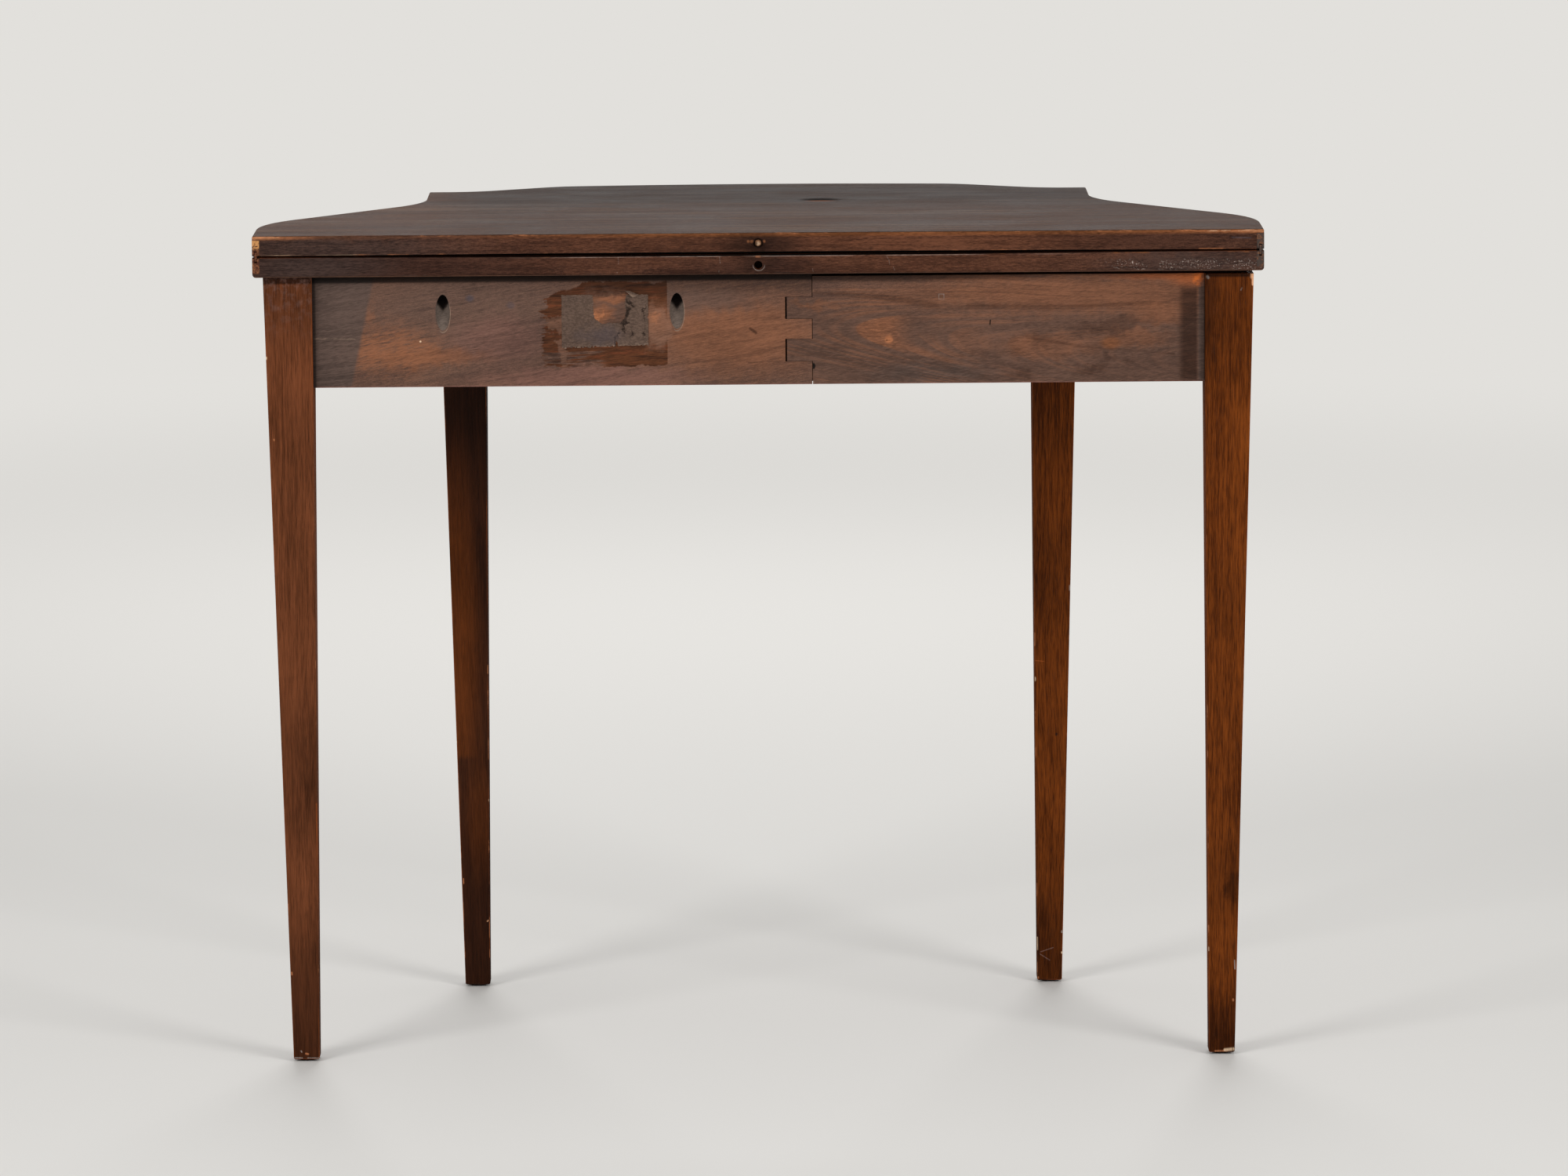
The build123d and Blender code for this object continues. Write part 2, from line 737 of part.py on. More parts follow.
os.makedirs("parts", exist_ok=True)
make_leaves(all_pockets)
make_peg()
make_hinges()
make_legs()
make_curved_rails()
make_inner_back_rail()
make_knuckle_rail()
make_fly_rail()
make_knuckle_pin()
make_blocks()
save("top_screws", *[pocket.screw() for pocket in all_pockets])
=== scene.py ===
"""Looks of an old mahogany folding table, seen from the back as it stands closed."""

import math

import bmesh
import bpy
from mathutils import Matrix, Vector, noise


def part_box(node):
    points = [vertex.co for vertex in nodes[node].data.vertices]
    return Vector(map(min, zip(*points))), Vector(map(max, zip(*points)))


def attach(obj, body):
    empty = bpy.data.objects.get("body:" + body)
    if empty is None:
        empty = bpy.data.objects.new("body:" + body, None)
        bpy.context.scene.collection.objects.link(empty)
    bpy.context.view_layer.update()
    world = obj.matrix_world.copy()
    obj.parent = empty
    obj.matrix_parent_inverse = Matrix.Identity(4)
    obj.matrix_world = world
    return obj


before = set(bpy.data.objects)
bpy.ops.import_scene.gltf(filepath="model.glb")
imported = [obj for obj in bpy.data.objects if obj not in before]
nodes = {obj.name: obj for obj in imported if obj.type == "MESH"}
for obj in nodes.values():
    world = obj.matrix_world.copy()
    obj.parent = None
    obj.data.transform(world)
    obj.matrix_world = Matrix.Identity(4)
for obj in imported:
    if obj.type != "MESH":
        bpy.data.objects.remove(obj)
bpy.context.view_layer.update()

# Places at the table's back, how deep marks reach into it, and the torn paper's sloping foot

back_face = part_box("knuckle_rail")[1].y
leaf_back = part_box("fixed_leaf")[1].y
back_pocket_far = 0.286
back_pocket_near = 0.074
pocket_height = 0.6895
mark_depth = 0.05
paper_foot = 0.6627
paper_slope = 0.035

# Colours, as they look on the table

TONES = {
    "top": (82, 56, 43),
    "top streak": (60, 40, 31),
    "top pale": (104, 80, 64),
    "top knot": (38, 24, 18),
    "play side": (112, 60, 34),
    "play side dark": (76, 36, 20),
    "leaf edge": (88, 58, 45),
    "leaf edge dark": (50, 33, 28),
    "leaf edge grey": (64, 51, 47),
    "leaf edge red": (100, 62, 44),
    "leaf edge orange": (126, 76, 44),
    "near black": (8, 6, 5),
    "scuff": (150, 136, 128),
    "scuff pale": (176, 160, 150),
    "bare wood": (214, 158, 118),
    "worn edge": (176, 112, 74),
    "bare chip": (222, 190, 156),
    "grime and shade": (24, 17, 14),
    "leg red": (124, 70, 42),
    "leg red dark": (66, 34, 16),
    "leg orange": (126, 63, 19),
    "leg orange dark": (62, 25, 3),
    # These two brown tones are darkened by painted shade.
    "leg brown in shade": (72, 38, 21),
    "leg brown dark in shade": (37, 17, 8),
    "leg edge": (142, 72, 32),
    "leg bloom": (112, 84, 76),
    "apron": (104, 56, 32),
    "apron dark": (62, 30, 17),
    "rail": (116, 84, 68),
    "rail dark": (84, 62, 53),
    "rail grey": (86, 70, 63),
    "rail orange": (129, 83, 58),
    "rail glow dim": (146, 80, 44),
    "rail glow": (196, 104, 48),
    "glue stain": (82, 47, 27),
    "glue dark": (48, 27, 17),
    "glue red": (104, 55, 34),
    "rail pink": (120, 84, 74),
    "rail brown": (92, 68, 57),
    "bluish spot": (74, 66, 70),
    "pocket dust": (98, 86, 78),
    "inner wood": (142, 108, 78),
    "inner wood dark": (104, 76, 54),
    "paper": (108, 88, 76),
    "paper dark": (80, 64, 56),
    "paper edge": (134, 112, 96),
    "peg": (196, 164, 134),
    "peg dark": (104, 80, 62),
    "brass": (150, 98, 66),
    "brass brown": (82, 48, 36),
    "brass gold": (204, 148, 92),
    "iron": (52, 46, 43),
    "steel": (70, 64, 60),
    "floor": (226, 224, 220),
}


def channel(value):
    """One channel of a screen colour, from 0 to 255, as light."""
    share = value / 255
    if share <= 0.04045:
        return share / 12.92
    return ((share + 0.055) / 1.055) ** 2.4


def tone(name):
    return tuple(channel(value) for value in TONES[name]) + (1.0,)


# Shader building

class Shader:
    """A material with one short method for each kind of node that it uses."""

    def __init__(self, name, roughness, specular=0.5, metallic=0.0):
        self.material = bpy.data.materials.new(name)
        self.material.use_nodes = True
        self.tree = self.material.node_tree
        self.surface = self.tree.nodes["Principled BSDF"]
        self.surface.inputs["Roughness"].default_value = roughness
        self.surface.inputs["Specular IOR Level"].default_value = specular
        self.surface.inputs["Metallic"].default_value = metallic
        coordinates = self.tree.nodes.new("ShaderNodeTexCoord")
        self.place = coordinates.outputs["Object"]
        self.facing = coordinates.outputs["Normal"]

    def node(self, kind, *values, **settings):
        made = self.tree.nodes.new(kind)
        for name, value in settings.items():
            setattr(made, name, value)
        for socket, value in zip(made.inputs, values):
            self.feed(socket, value)
        return made

    def feed(self, socket, value):
        """A socket takes another node's output, or a plain value. None leaves it as it is."""
        if isinstance(value, bpy.types.NodeSocket):
            self.tree.links.new(value, socket)
        elif value is not None:
            socket.default_value = value

    def math(self, operation, first, second=None):
        return self.node("ShaderNodeMath", first, second, operation=operation).outputs[0]

    def vector(self, operation, *values):
        made = self.node("ShaderNodeVectorMath", *values, operation=operation)
        return made.outputs["Value" if operation in ("LENGTH", "DOT_PRODUCT") else "Vector"]

    def split(self, value):
        return tuple(self.node("ShaderNodeSeparateXYZ", value).outputs)

    def join(self, x, y, z):
        return self.node("ShaderNodeCombineXYZ", x, y, z).outputs[0]

    def noise(self, place, scale=1.0, detail=2.0, roughness=0.5):
        made = self.node("ShaderNodeTexNoise", place)
        made.inputs["Scale"].default_value = scale
        made.inputs["Detail"].default_value = detail
        made.inputs["Roughness"].default_value = roughness
        return made.outputs[0]

    def scaled_noise(self, place, scales, detail=3.0, roughness=0.7):
        """Noise with its own number of waves in a metre along each axis."""
        return self.noise(self.vector("MULTIPLY", place, scales), detail=detail, roughness=roughness)

    def ramp(self, value, low, high, start=0.0, end=1.0):
        """A smooth step that goes from start to end as the value goes from low to high."""
        made = self.node("ShaderNodeMapRange", value, low, high, start, end)
        made.interpolation_type = "SMOOTHSTEP"
        return made.outputs[0]

    def mix(self, share, first, second, blend="MIX"):
        made = self.node("ShaderNodeMix", data_type="RGBA", blend_type=blend)
        for index, value in ((0, share), (6, first), (7, second)):
            self.feed(made.inputs[index], value)
        return made.outputs[2]

    def sum(self, *parts):
        total = parts[0]
        for part in parts[1:]:
            total = self.math("ADD", total, part)
        return total

    def swing(self, value):
        """Noise spread out to run from -1 to 1."""
        return self.node("ShaderNodeMapRange", value, 0.30, 0.70, -1.0, 1.0).outputs[0]

    def both(self, *shares):
        total = shares[0]
        for share in shares[1:]:
            total = self.math("MULTIPLY", total, share)
        return total

    def invert(self, share):
        """1 where the share is 0, and 0 where it is 1."""
        return self.math("SUBTRACT", 1.0, share)

    def away(self, value, middle):
        """How far a value is from a middle, on either side."""
        return self.math("ABSOLUTE", self.math("SUBTRACT", value, middle))

    def either(self, *shares):
        total = shares[0]
        for share in shares[1:]:
            total = self.math("MAXIMUM", total, share)
        return total

    def finish(self, colour, roughness, height, depth):
        """The surface's look. The height is shaded as bumps of the depth in metres."""
        self.feed(self.surface.inputs["Base Color"], colour)
        self.feed(self.surface.inputs["Roughness"], roughness)
        bump = self.node("ShaderNodeBump")
        bump.inputs["Distance"].default_value = depth
        self.feed(bump.inputs["Height"], height)
        self.feed(self.surface.inputs["Normal"], bump.outputs[0])
        return self.material


# Wood

class Wood(Shader):
    """Wood with growth rings, fibres, pores and clouds of darker and lighter colour."""

    def __init__(self, name, along, light, dark, seed=0.0, pith=(0.12, 0.3), lean=(0.0, 0.02),
                 slope=0.0, ring=0.005, warp=0.005, bands=1.0, fibres=1.0, clouds=1.0, ripples=0.0,
                 fibre=(210.0, 1250.0), pore=(150.0, 2100.0), roughness=0.45, **finish):
        super().__init__(name, roughness, **finish)
        self.roughness = roughness
        self.x, self.y, self.z = self.split(self.place)
        self.nx, self.ny, self.nz = self.split(self.facing)
        u, v, w = (self.x, self.y, self.z) if along == "x" else (self.z, self.x, self.y)
        tilted = self.sum(w, self.math("MULTIPLY", u, slope))
        self.grain = self.vector("ADD", self.join(u, v, tilted), (seed, seed, seed))
        wander_scale, wander_reach = 70.0, 0.03
        push = self.vector("SUBTRACT", self.colour_noise(wander_scale), (0.5, 0.5, 0.5))
        push = self.vector("MULTIPLY", push, (wander_reach, wander_reach, wander_reach))
        self.wander = self.vector("ADD", self.place, push)

        bend = self.math("MULTIPLY", self.swing(self.stretch(4.0, 14.0)), warp)
        from_pith = self.sum(v, bend, -pith[0], self.math("MULTIPLY", u, lean[0]))
        above_pith = self.sum(w, bend, -pith[1], self.math("MULTIPLY", u, lean[1]))
        self.radius = self.vector("LENGTH", self.join(from_pith, above_pith, 0.0))
        ring_place = self.join(self.math("DIVIDE", self.radius, ring), self.math("MULTIPLY", u, 3.0), seed)
        self.band = self.swing(self.noise(ring_place, detail=3.0, roughness=0.7))
        self.line = self.swing(self.scaled_noise(ring_place, (4.1, 1.0, 1.0), 2.0, 0.5))
        self.streak = self.swing(self.stretch(22.0, 420.0, 4.0))
        self.fine = self.swing(self.stretch(*fibre, 3.0))
        self.cloud = self.swing(self.stretch(9.0, 22.0, 3.0))
        self.ripple = self.swing(self.scaled_noise(self.slanted(u, v, w), (110.0, 110.0, 640.0)))
        self.figure = self.sum(
            0.5,
            self.math("MULTIPLY", self.band, 0.20 * bands),
            self.math("MULTIPLY", self.line, 0.12 * bands),
            self.math("MULTIPLY", self.streak, 0.16 * fibres),
            self.math("MULTIPLY", self.fine, 0.22 * fibres),
            self.math("MULTIPLY", self.cloud, 0.24 * clouds),
            self.math("MULTIPLY", self.ripple, 0.16 * ripples),
        )
        self.light_and_dark = self.ramp(self.figure, 0.0, 1.0, 0.66, 1.34)
        self.pores = self.math("MULTIPLY", self.ramp(self.stretch(*pore, 1.0), 0.60, 0.72), 0.32 * fibres)
        self.colour = self.figured(light, dark)

    def figured(self, light, dark):
        """The wood's figure, in two tones."""
        return self.mix(self.ramp(self.figure, 0.0, 1.0), tone(dark), tone(light))

    def slanted(self, u, v, w):
        """The place turned by the slant of the tool marks that cross the grain."""
        slant = 0.27
        across = self.sum(w, self.math("MULTIPLY", u, slant))
        return self.join(u, v, across)

    def stretch(self, along, across, detail=2.0):
        """Noise drawn out along the grain. The numbers are how many waves fit in a metre."""
        return self.scaled_noise(self.grain, (along, across, across), detail, 0.58)

    def colour_noise(self, scale):
        """Noise with a value of its own along each axis."""
        made = self.node("ShaderNodeTexNoise", self.place)
        made.inputs["Scale"].default_value = scale
        made.inputs["Detail"].default_value = 5.0
        made.inputs["Roughness"].default_value = 0.65
        return made.outputs[1]

    def stained(self, name):
        """A tone with the wood's own grain in it."""
        grain = self.join(self.light_and_dark, self.light_and_dark, self.light_and_dark)
        return self.mix(1.0, tone(name), grain, "MULTIPLY")

    def paint(self, share, name, strength=1.0):
        """Lays a tone over the wood where the share is high."""
        self.colour = self.mix(self.math("MULTIPLY", share, strength), self.colour, self.stained(name))

    def tint(self, share, low, high):
        """Multiplies the colour by low to high as the share goes from 0 to 1."""
        factor = self.ramp(share, 0.0, 1.0, low, high)
        self.colour = self.mix(1.0, self.colour, self.join(factor, factor, factor), "MULTIPLY")

    def grit(self, scales, low, high):
        """Fine specks, lighter and darker."""
        self.tint(self.ramp(self.scaled_noise(self.place, scales, 2.0), 0.34, 0.66), low, high)

    def between(self, value, low, high, blur):
        """1 where the value is between low and high."""
        rise = self.ramp(value, low - blur, low + blur)
        fall = self.ramp(value, high - blur, high + blur, 1.0, 0.0)
        return self.both(rise, fall)

    def patch(self, centre, size, blur=0.4, wander=False):
        """An oval place: 1 at its centre and 0 outside, with a ragged edge if it wanders."""
        offset = self.vector("SUBTRACT", self.wander if wander else self.place, centre)
        reach = self.vector("LENGTH", self.vector("DIVIDE", offset, size))
        return self.ramp(reach, 1.0 - blur, 1.0 + blur, 1.0, 0.0)

    def stroke(self, start, end, width, place=None):
        """A thin mark from start to end."""
        start, end = Vector(start), Vector(end)
        run = end - start
        offset = self.vector("SUBTRACT", place or self.place, tuple(start))
        along = self.math("DIVIDE", self.vector("DOT_PRODUCT", offset, tuple(run)), run.length_squared)
        held = self.node("ShaderNodeClamp", along, 0.0, 1.0).outputs[0]
        nearest = self.vector("MULTIPLY", self.join(held, held, held), tuple(run))
        distance = self.vector("LENGTH", self.vector("SUBTRACT", offset, nearest))
        return self.ramp(distance, width * 0.15, width * 0.75, 1.0, 0.0)

    def faces(self, axis, sign):
        """1 on the faces that look along an axis."""
        value = {"x": self.nx, "y": self.ny, "z": self.nz}[axis]
        threshold, blur = 0.7, 0.05
        return self.ramp(self.math("MULTIPLY", value, float(sign)), threshold - blur, threshold + blur)

    def rim(self):
        """1 on the rounded edges, where the surface looks along no axis."""
        largest = self.either(*[self.math("ABSOLUTE", n) for n in (self.nx, self.ny, self.nz)])
        return self.ramp(largest, 0.90, 0.985, 1.0, 0.0)

    def wear(self, share, amount, name, strength):
        """Rubbed wood in broken stretches within the share."""
        broken = self.stretch(38.0, 60.0, 4.0)
        self.paint(self.both(share, self.ramp(broken, 0.64 - amount, 0.72 - amount)), name, strength)

    def specks(self, scale, amount, name, strength):
        """Small scattered spots of dirt or bare wood."""
        spot = self.noise(self.grain, scale=scale, detail=2.0)
        self.paint(self.ramp(spot, 0.80 - amount, 0.83 - amount), name, strength)

    def done(self, depth=0.00012):
        """Adds the pores, and the unevenness of the gloss and the surface."""
        self.colour = self.mix(self.pores, self.colour, tone("grime and shade"))
        uneven = self.sum(self.math("MULTIPLY", self.streak, 0.05), self.math("MULTIPLY", self.cloud, 0.05),
                          self.roughness)
        height = self.sum(self.streak, self.math("MULTIPLY", self.fine, 0.5),
                          self.math("MULTIPLY", self.pores, -1.0))
        return self.finish(self.colour, uneven, height, depth)


# Darker stretches of the legs: height, reach and how dark. At the top they are painted shade under the
# leaves and the apron; lower down the legs are darker round the given heights.

FLY_LEG_SHADES = ((0.72, 0.16, 0.74), (0.42, 0.07, 0.85), (0.16, 0.07, 0.75), (0.0, 0.09, 0.42))
BACK_LEG_SHADES = ((0.72, 0.10, 0.80), (0.27, 0.12, 0.74), (0.03, 0.17, 0.42))
FRONT_LEFT_SHADES = ((0.62, 0.16, 0.84), (0.40, 0.10, 0.82), (0.0, 0.16, 0.50), (0.18, 0.50, 0.88))
FRONT_RIGHT_SHADES = ((0.62, 0.24, 0.36), (0.40, 0.09, 0.72), (0.05, 0.20, 0.60))

# Chips and scratches on the legs: two ends (x, z), width in metres, colour

FLY_LEG_MARKS = (
    ((-0.4059, 0.7185), (-0.4066, 0.7175), 0.0026, "scuff"),
    ((-0.4364, 0.7060), (-0.4372, 0.7080), 0.0011, "scuff"),
    ((-0.4466, 0.7200), (-0.4464, 0.7180), 0.0034, "bare wood"),
    ((-0.4470, 0.7180), (-0.4470, 0.7110), 0.0020, "bare wood"),
    ((-0.4403, 0.4530), (-0.4403, 0.4510), 0.0016, "glue red"),
    ((-0.4070, 0.1000), (-0.4070, 0.0975), 0.0022, "bare chip"),
    ((-0.4314, 0.0880), (-0.4318, 0.0800), 0.0012, "scuff"),
    ((-0.4302, 0.0515), (-0.4303, 0.0505), 0.0018, "worn edge"),
    ((-0.4072, 0.0250), (-0.4072, 0.0200), 0.0016, "scuff"),
    ((-0.4140, 0.0032), (-0.4240, 0.0034), 0.0018, "worn edge"),
    ((-0.4230, 0.0042), (-0.4306, 0.0050), 0.0030, "bare chip"),
)
BACK_LEG_MARKS = (
    ((0.4403, 0.5765), (0.4402, 0.5755), 0.0013, "worn edge"),
    ((0.4462, 0.6512), (0.4462, 0.6500), 0.0018, "bare chip"),
    ((0.4324, 0.0835), (0.4322, 0.0815), 0.0014, "worn edge"),
    ((0.4310, 0.0036), (0.4240, 0.0034), 0.0012, "scuff"),
    ((0.4190, 0.0034), (0.4085, 0.0032), 0.0010, "scuff"),
    ((0.4065, 0.2400), (0.4058, 0.1150), 0.0026, "leg edge"),
    ((0.4205, 0.0075), (0.4185, 0.0070), 0.0018, "worn edge"),
    ((0.4250, 0.0100), (0.4245, 0.0090), 0.0012, "scuff"),
)
FRONT_LEFT_MARKS = (
    ((-0.2943, 0.3860), (-0.2943, 0.3820), 0.0016, "scuff"),
    ((-0.2599, 0.3400), (-0.2600, 0.3290), 0.0026, "worn edge"),
    ((-0.2613, 0.3139), (-0.2695, 0.3131), 0.0008, "leg edge"),
    ((-0.2605, 0.2970), (-0.2605, 0.2950), 0.0024, "bare chip"),
    ((-0.2813, 0.2427), (-0.2812, 0.2419), 0.0024, "grime and shade"),
    ((-0.2862, 0.0500), (-0.2862, 0.0488), 0.0014, "scuff"),
    ((-0.2861, 0.0295), (-0.2861, 0.0285), 0.0012, "bare chip"),
    ((-0.2626, 0.0440), (-0.2628, 0.0320), 0.0014, "bare chip"),
    ((-0.2635, 0.0050), (-0.2635, 0.0040), 0.0016, "worn edge"),
    ((-0.2659, 0.0299), (-0.2779, 0.0339), 0.0009, "leg bloom"),
    ((-0.2651, 0.0278), (-0.2746, 0.0216), 0.0009, "leg bloom"),
)
FRONT_RIGHT_MARKS = (
    ((0.2601, 0.3130), (0.2602, 0.3060), 0.0022, "worn edge"),
    ((0.2943, 0.2810), (0.2942, 0.2790), 0.0014, "worn edge"),
    ((0.2940, 0.2700), (0.2939, 0.2670), 0.0012, "worn edge"),
    ((0.2919, 0.2400), (0.2919, 0.2380), 0.0012, "bare chip"),
    ((0.2609, 0.1826), (0.2609, 0.1820), 0.0020, "bare chip"),
    ((0.2868, 0.1060), (0.2867, 0.1010), 0.0008, "worn edge"),
    ((0.2638, 0.0648), (0.2645, 0.0640), 0.0014, "bare wood"),
    ((0.2613, 0.0320), (0.2613, 0.0290), 0.0018, "worn edge"),
)


def leg_wood(name, light, dark, seed, shades, marks, fibres=1.3, edge=0.05):
    """A leg with its grain upright, its edges paler, rubbed in places and with a painted highlight along
    them, and its own chips.

    Each shade is a height, a reach above and below it, and how dark the wood is painted there."""
    w = Wood(name, "z", light, dark, seed=seed, pith=(0.09, 0.2), lean=(0.01, 0.012), ring=0.0026,
             bands=0.7, fibres=fibres, clouds=0.7, fibre=(75.0, 1300.0), pore=(55.0, 2100.0),
             roughness=0.30, specular=0.05)
    side_roughness = 0.85
    w.roughness = w.ramp(w.math("ABSOLUTE", w.nx), 0.5, 0.8, w.roughness, side_roughness)
    for height, reach, shade in shades:
        w.tint(w.ramp(w.away(w.z, height), 0.0, reach, 1.0, 0.0), 1.0, shade)
    # Painted highlight along the rounded edges, in long patches.
    w.paint(w.both(w.rim(), w.ramp(w.stretch(9.0, 20.0), 0.40, 0.60)), "leg edge", 0.6)
    w.wear(w.both(w.rim(), w.ramp(w.z, 0.45, 0.30, 0.4, 1.0)), edge, "worn edge", 0.7)
    # Painted shade: a dark band at the top of the back faces, under the leaves.
    shade_under_the_leaves = w.ramp(w.z, 0.7165, 0.7195)
    w.tint(w.both(shade_under_the_leaves, w.faces("y", 1)), 1.0, 0.25)
    flat = w.join(w.x, 0.0, w.z)
    seen_from_behind = w.ramp(w.ny, 0.1, 0.3)
    for start, end, width, mark in marks:
        line = w.stroke((start[0], 0.0, start[1]), (end[0], 0.0, end[1]), width, flat)
        w.paint(w.both(line, seen_from_behind, w.ramp(w.streak, -1.4, -0.2)), mark, 0.85)
    return w


def fixed_back_leg_wood():
    """Red wood with a pale bloom in its polish at the top."""
    w = leg_wood("fixed_back_leg_wood", "leg red", "leg red dark", 41.0, BACK_LEG_SHADES,
                 BACK_LEG_MARKS, 0.9)
    bloom = w.swing(w.noise(w.place, scale=160.0, detail=4.0, roughness=0.7))
    w.paint(w.both(w.ramp(w.z, 0.655, 0.715), w.ramp(bloom, -0.2, 0.8)), "leg bloom", 0.4)
    return w.done()


def fly_leg_wood():
    """Orange wood, darker by the rail and at one knock lower down."""
    w = leg_wood("fly_leg_wood", "leg orange", "leg orange dark", 43.0, FLY_LEG_SHADES, FLY_LEG_MARKS)
    w.tint(w.patch((-0.405, 0.218, 0.690), (0.012, mark_depth, 0.050), 0.8, True), 1.0, 0.5)
    w.tint(w.patch((-0.4285, 0.210, 0.158), (0.007, mark_depth, 0.012), 0.8, True), 1.0, 0.5)
    return w.done()


def front_leg_left_wood():
    w = leg_wood("front_leg_left_wood", "leg orange", "leg orange dark", 47.0, FRONT_LEFT_SHADES,
                 FRONT_LEFT_MARKS)
    return w.done()


def front_leg_right_wood():
    """Brown wood, darker than the other legs, mostly as painted shade, redder along one side and again
    lower down.
    """
    w = leg_wood("front_leg_right_wood", "leg brown in shade", "leg brown dark in shade", 53.0, FRONT_RIGHT_SHADES,
                 FRONT_RIGHT_MARKS, 0.8, 0.08)
    red_side = w.patch((0.290, -0.2, 0.34), (0.020, 0.2, 0.16), 0.5)
    red_side = w.both(red_side, w.ramp(w.z, 0.220, 0.228), w.faces("y", 1))
    red_foot = w.both(w.patch((0.270, -0.2, 0.165), (0.012, 0.2, 0.050), 0.7), w.faces("y", 1))
    w.paint(red_side, "leg orange", 0.34)
    w.paint(red_foot, "leg orange", 0.2)
    return w.done()


# The leaves

def leaf_wood(name, seed):
    """The side grain of a leaf's edge."""
    w = Wood(name, "x", "leaf edge", "leaf edge dark", seed=seed, pith=(0.5, 0.1), lean=(0.0, 0.01),
             ring=0.005, bands=0.7, fibres=1.6, clouds=1.1, ripples=1.0, roughness=0.6, specular=0.013)
    w.grit((800.0, 800.0, 1100.0), 0.78, 1.26)
    return w


def leaf_gap_shade(w, edge_z, upward):
    """Painted shade in the gap that opens between the two warped leaves towards their middle.

    Upward is 1 for the leaf above the gap and -1 for the one below."""
    middle_gap = 0.0013
    half_length = 0.45
    share = w.math("DIVIDE", w.x, half_length)
    depth = w.math("MULTIPLY", w.invert(w.math("MULTIPLY", share, share)), middle_gap)
    from_edge = w.math("MULTIPLY", w.math("SUBTRACT", w.z, edge_z), upward)
    inside = w.ramp(w.math("SUBTRACT", depth, from_edge), -0.0001, 0.0002)
    near_back = w.ramp(w.y, leaf_back - 0.0028, leaf_back - 0.0018)
    # Painted shade, near black, in the gap.
    w.colour = w.mix(w.both(inside, near_back), w.colour, tone("near black"))


def scratch(w, x, z, length, slant):
    """A short upright scratch on the back face of a leaf's edge."""
    line = w.stroke((x, leaf_back, z), (x + slant, leaf_back, z - length), 0.0006)
    w.paint(w.both(line, w.faces("y", 1), w.ramp(w.fine, -1.2, 0.2)), "scuff", 0.3)


def edge_bruise(w, x, z, width, height, name, strength):
    """A soft stretch of another colour along a leaf's back edge."""
    w.paint(w.patch((x, leaf_back, z), (width, mark_depth, height), 0.8, True), name, strength)


def edge_mark(w, centre, width, height, name, strength, blur, ragged=False):
    """A mark on the back face of a leaf's edge, at the peg or its hole."""
    mark = w.patch(centre, (width, 1.0, height), blur, ragged)
    w.paint(w.both(mark, w.faces("y", 1)), name, strength)


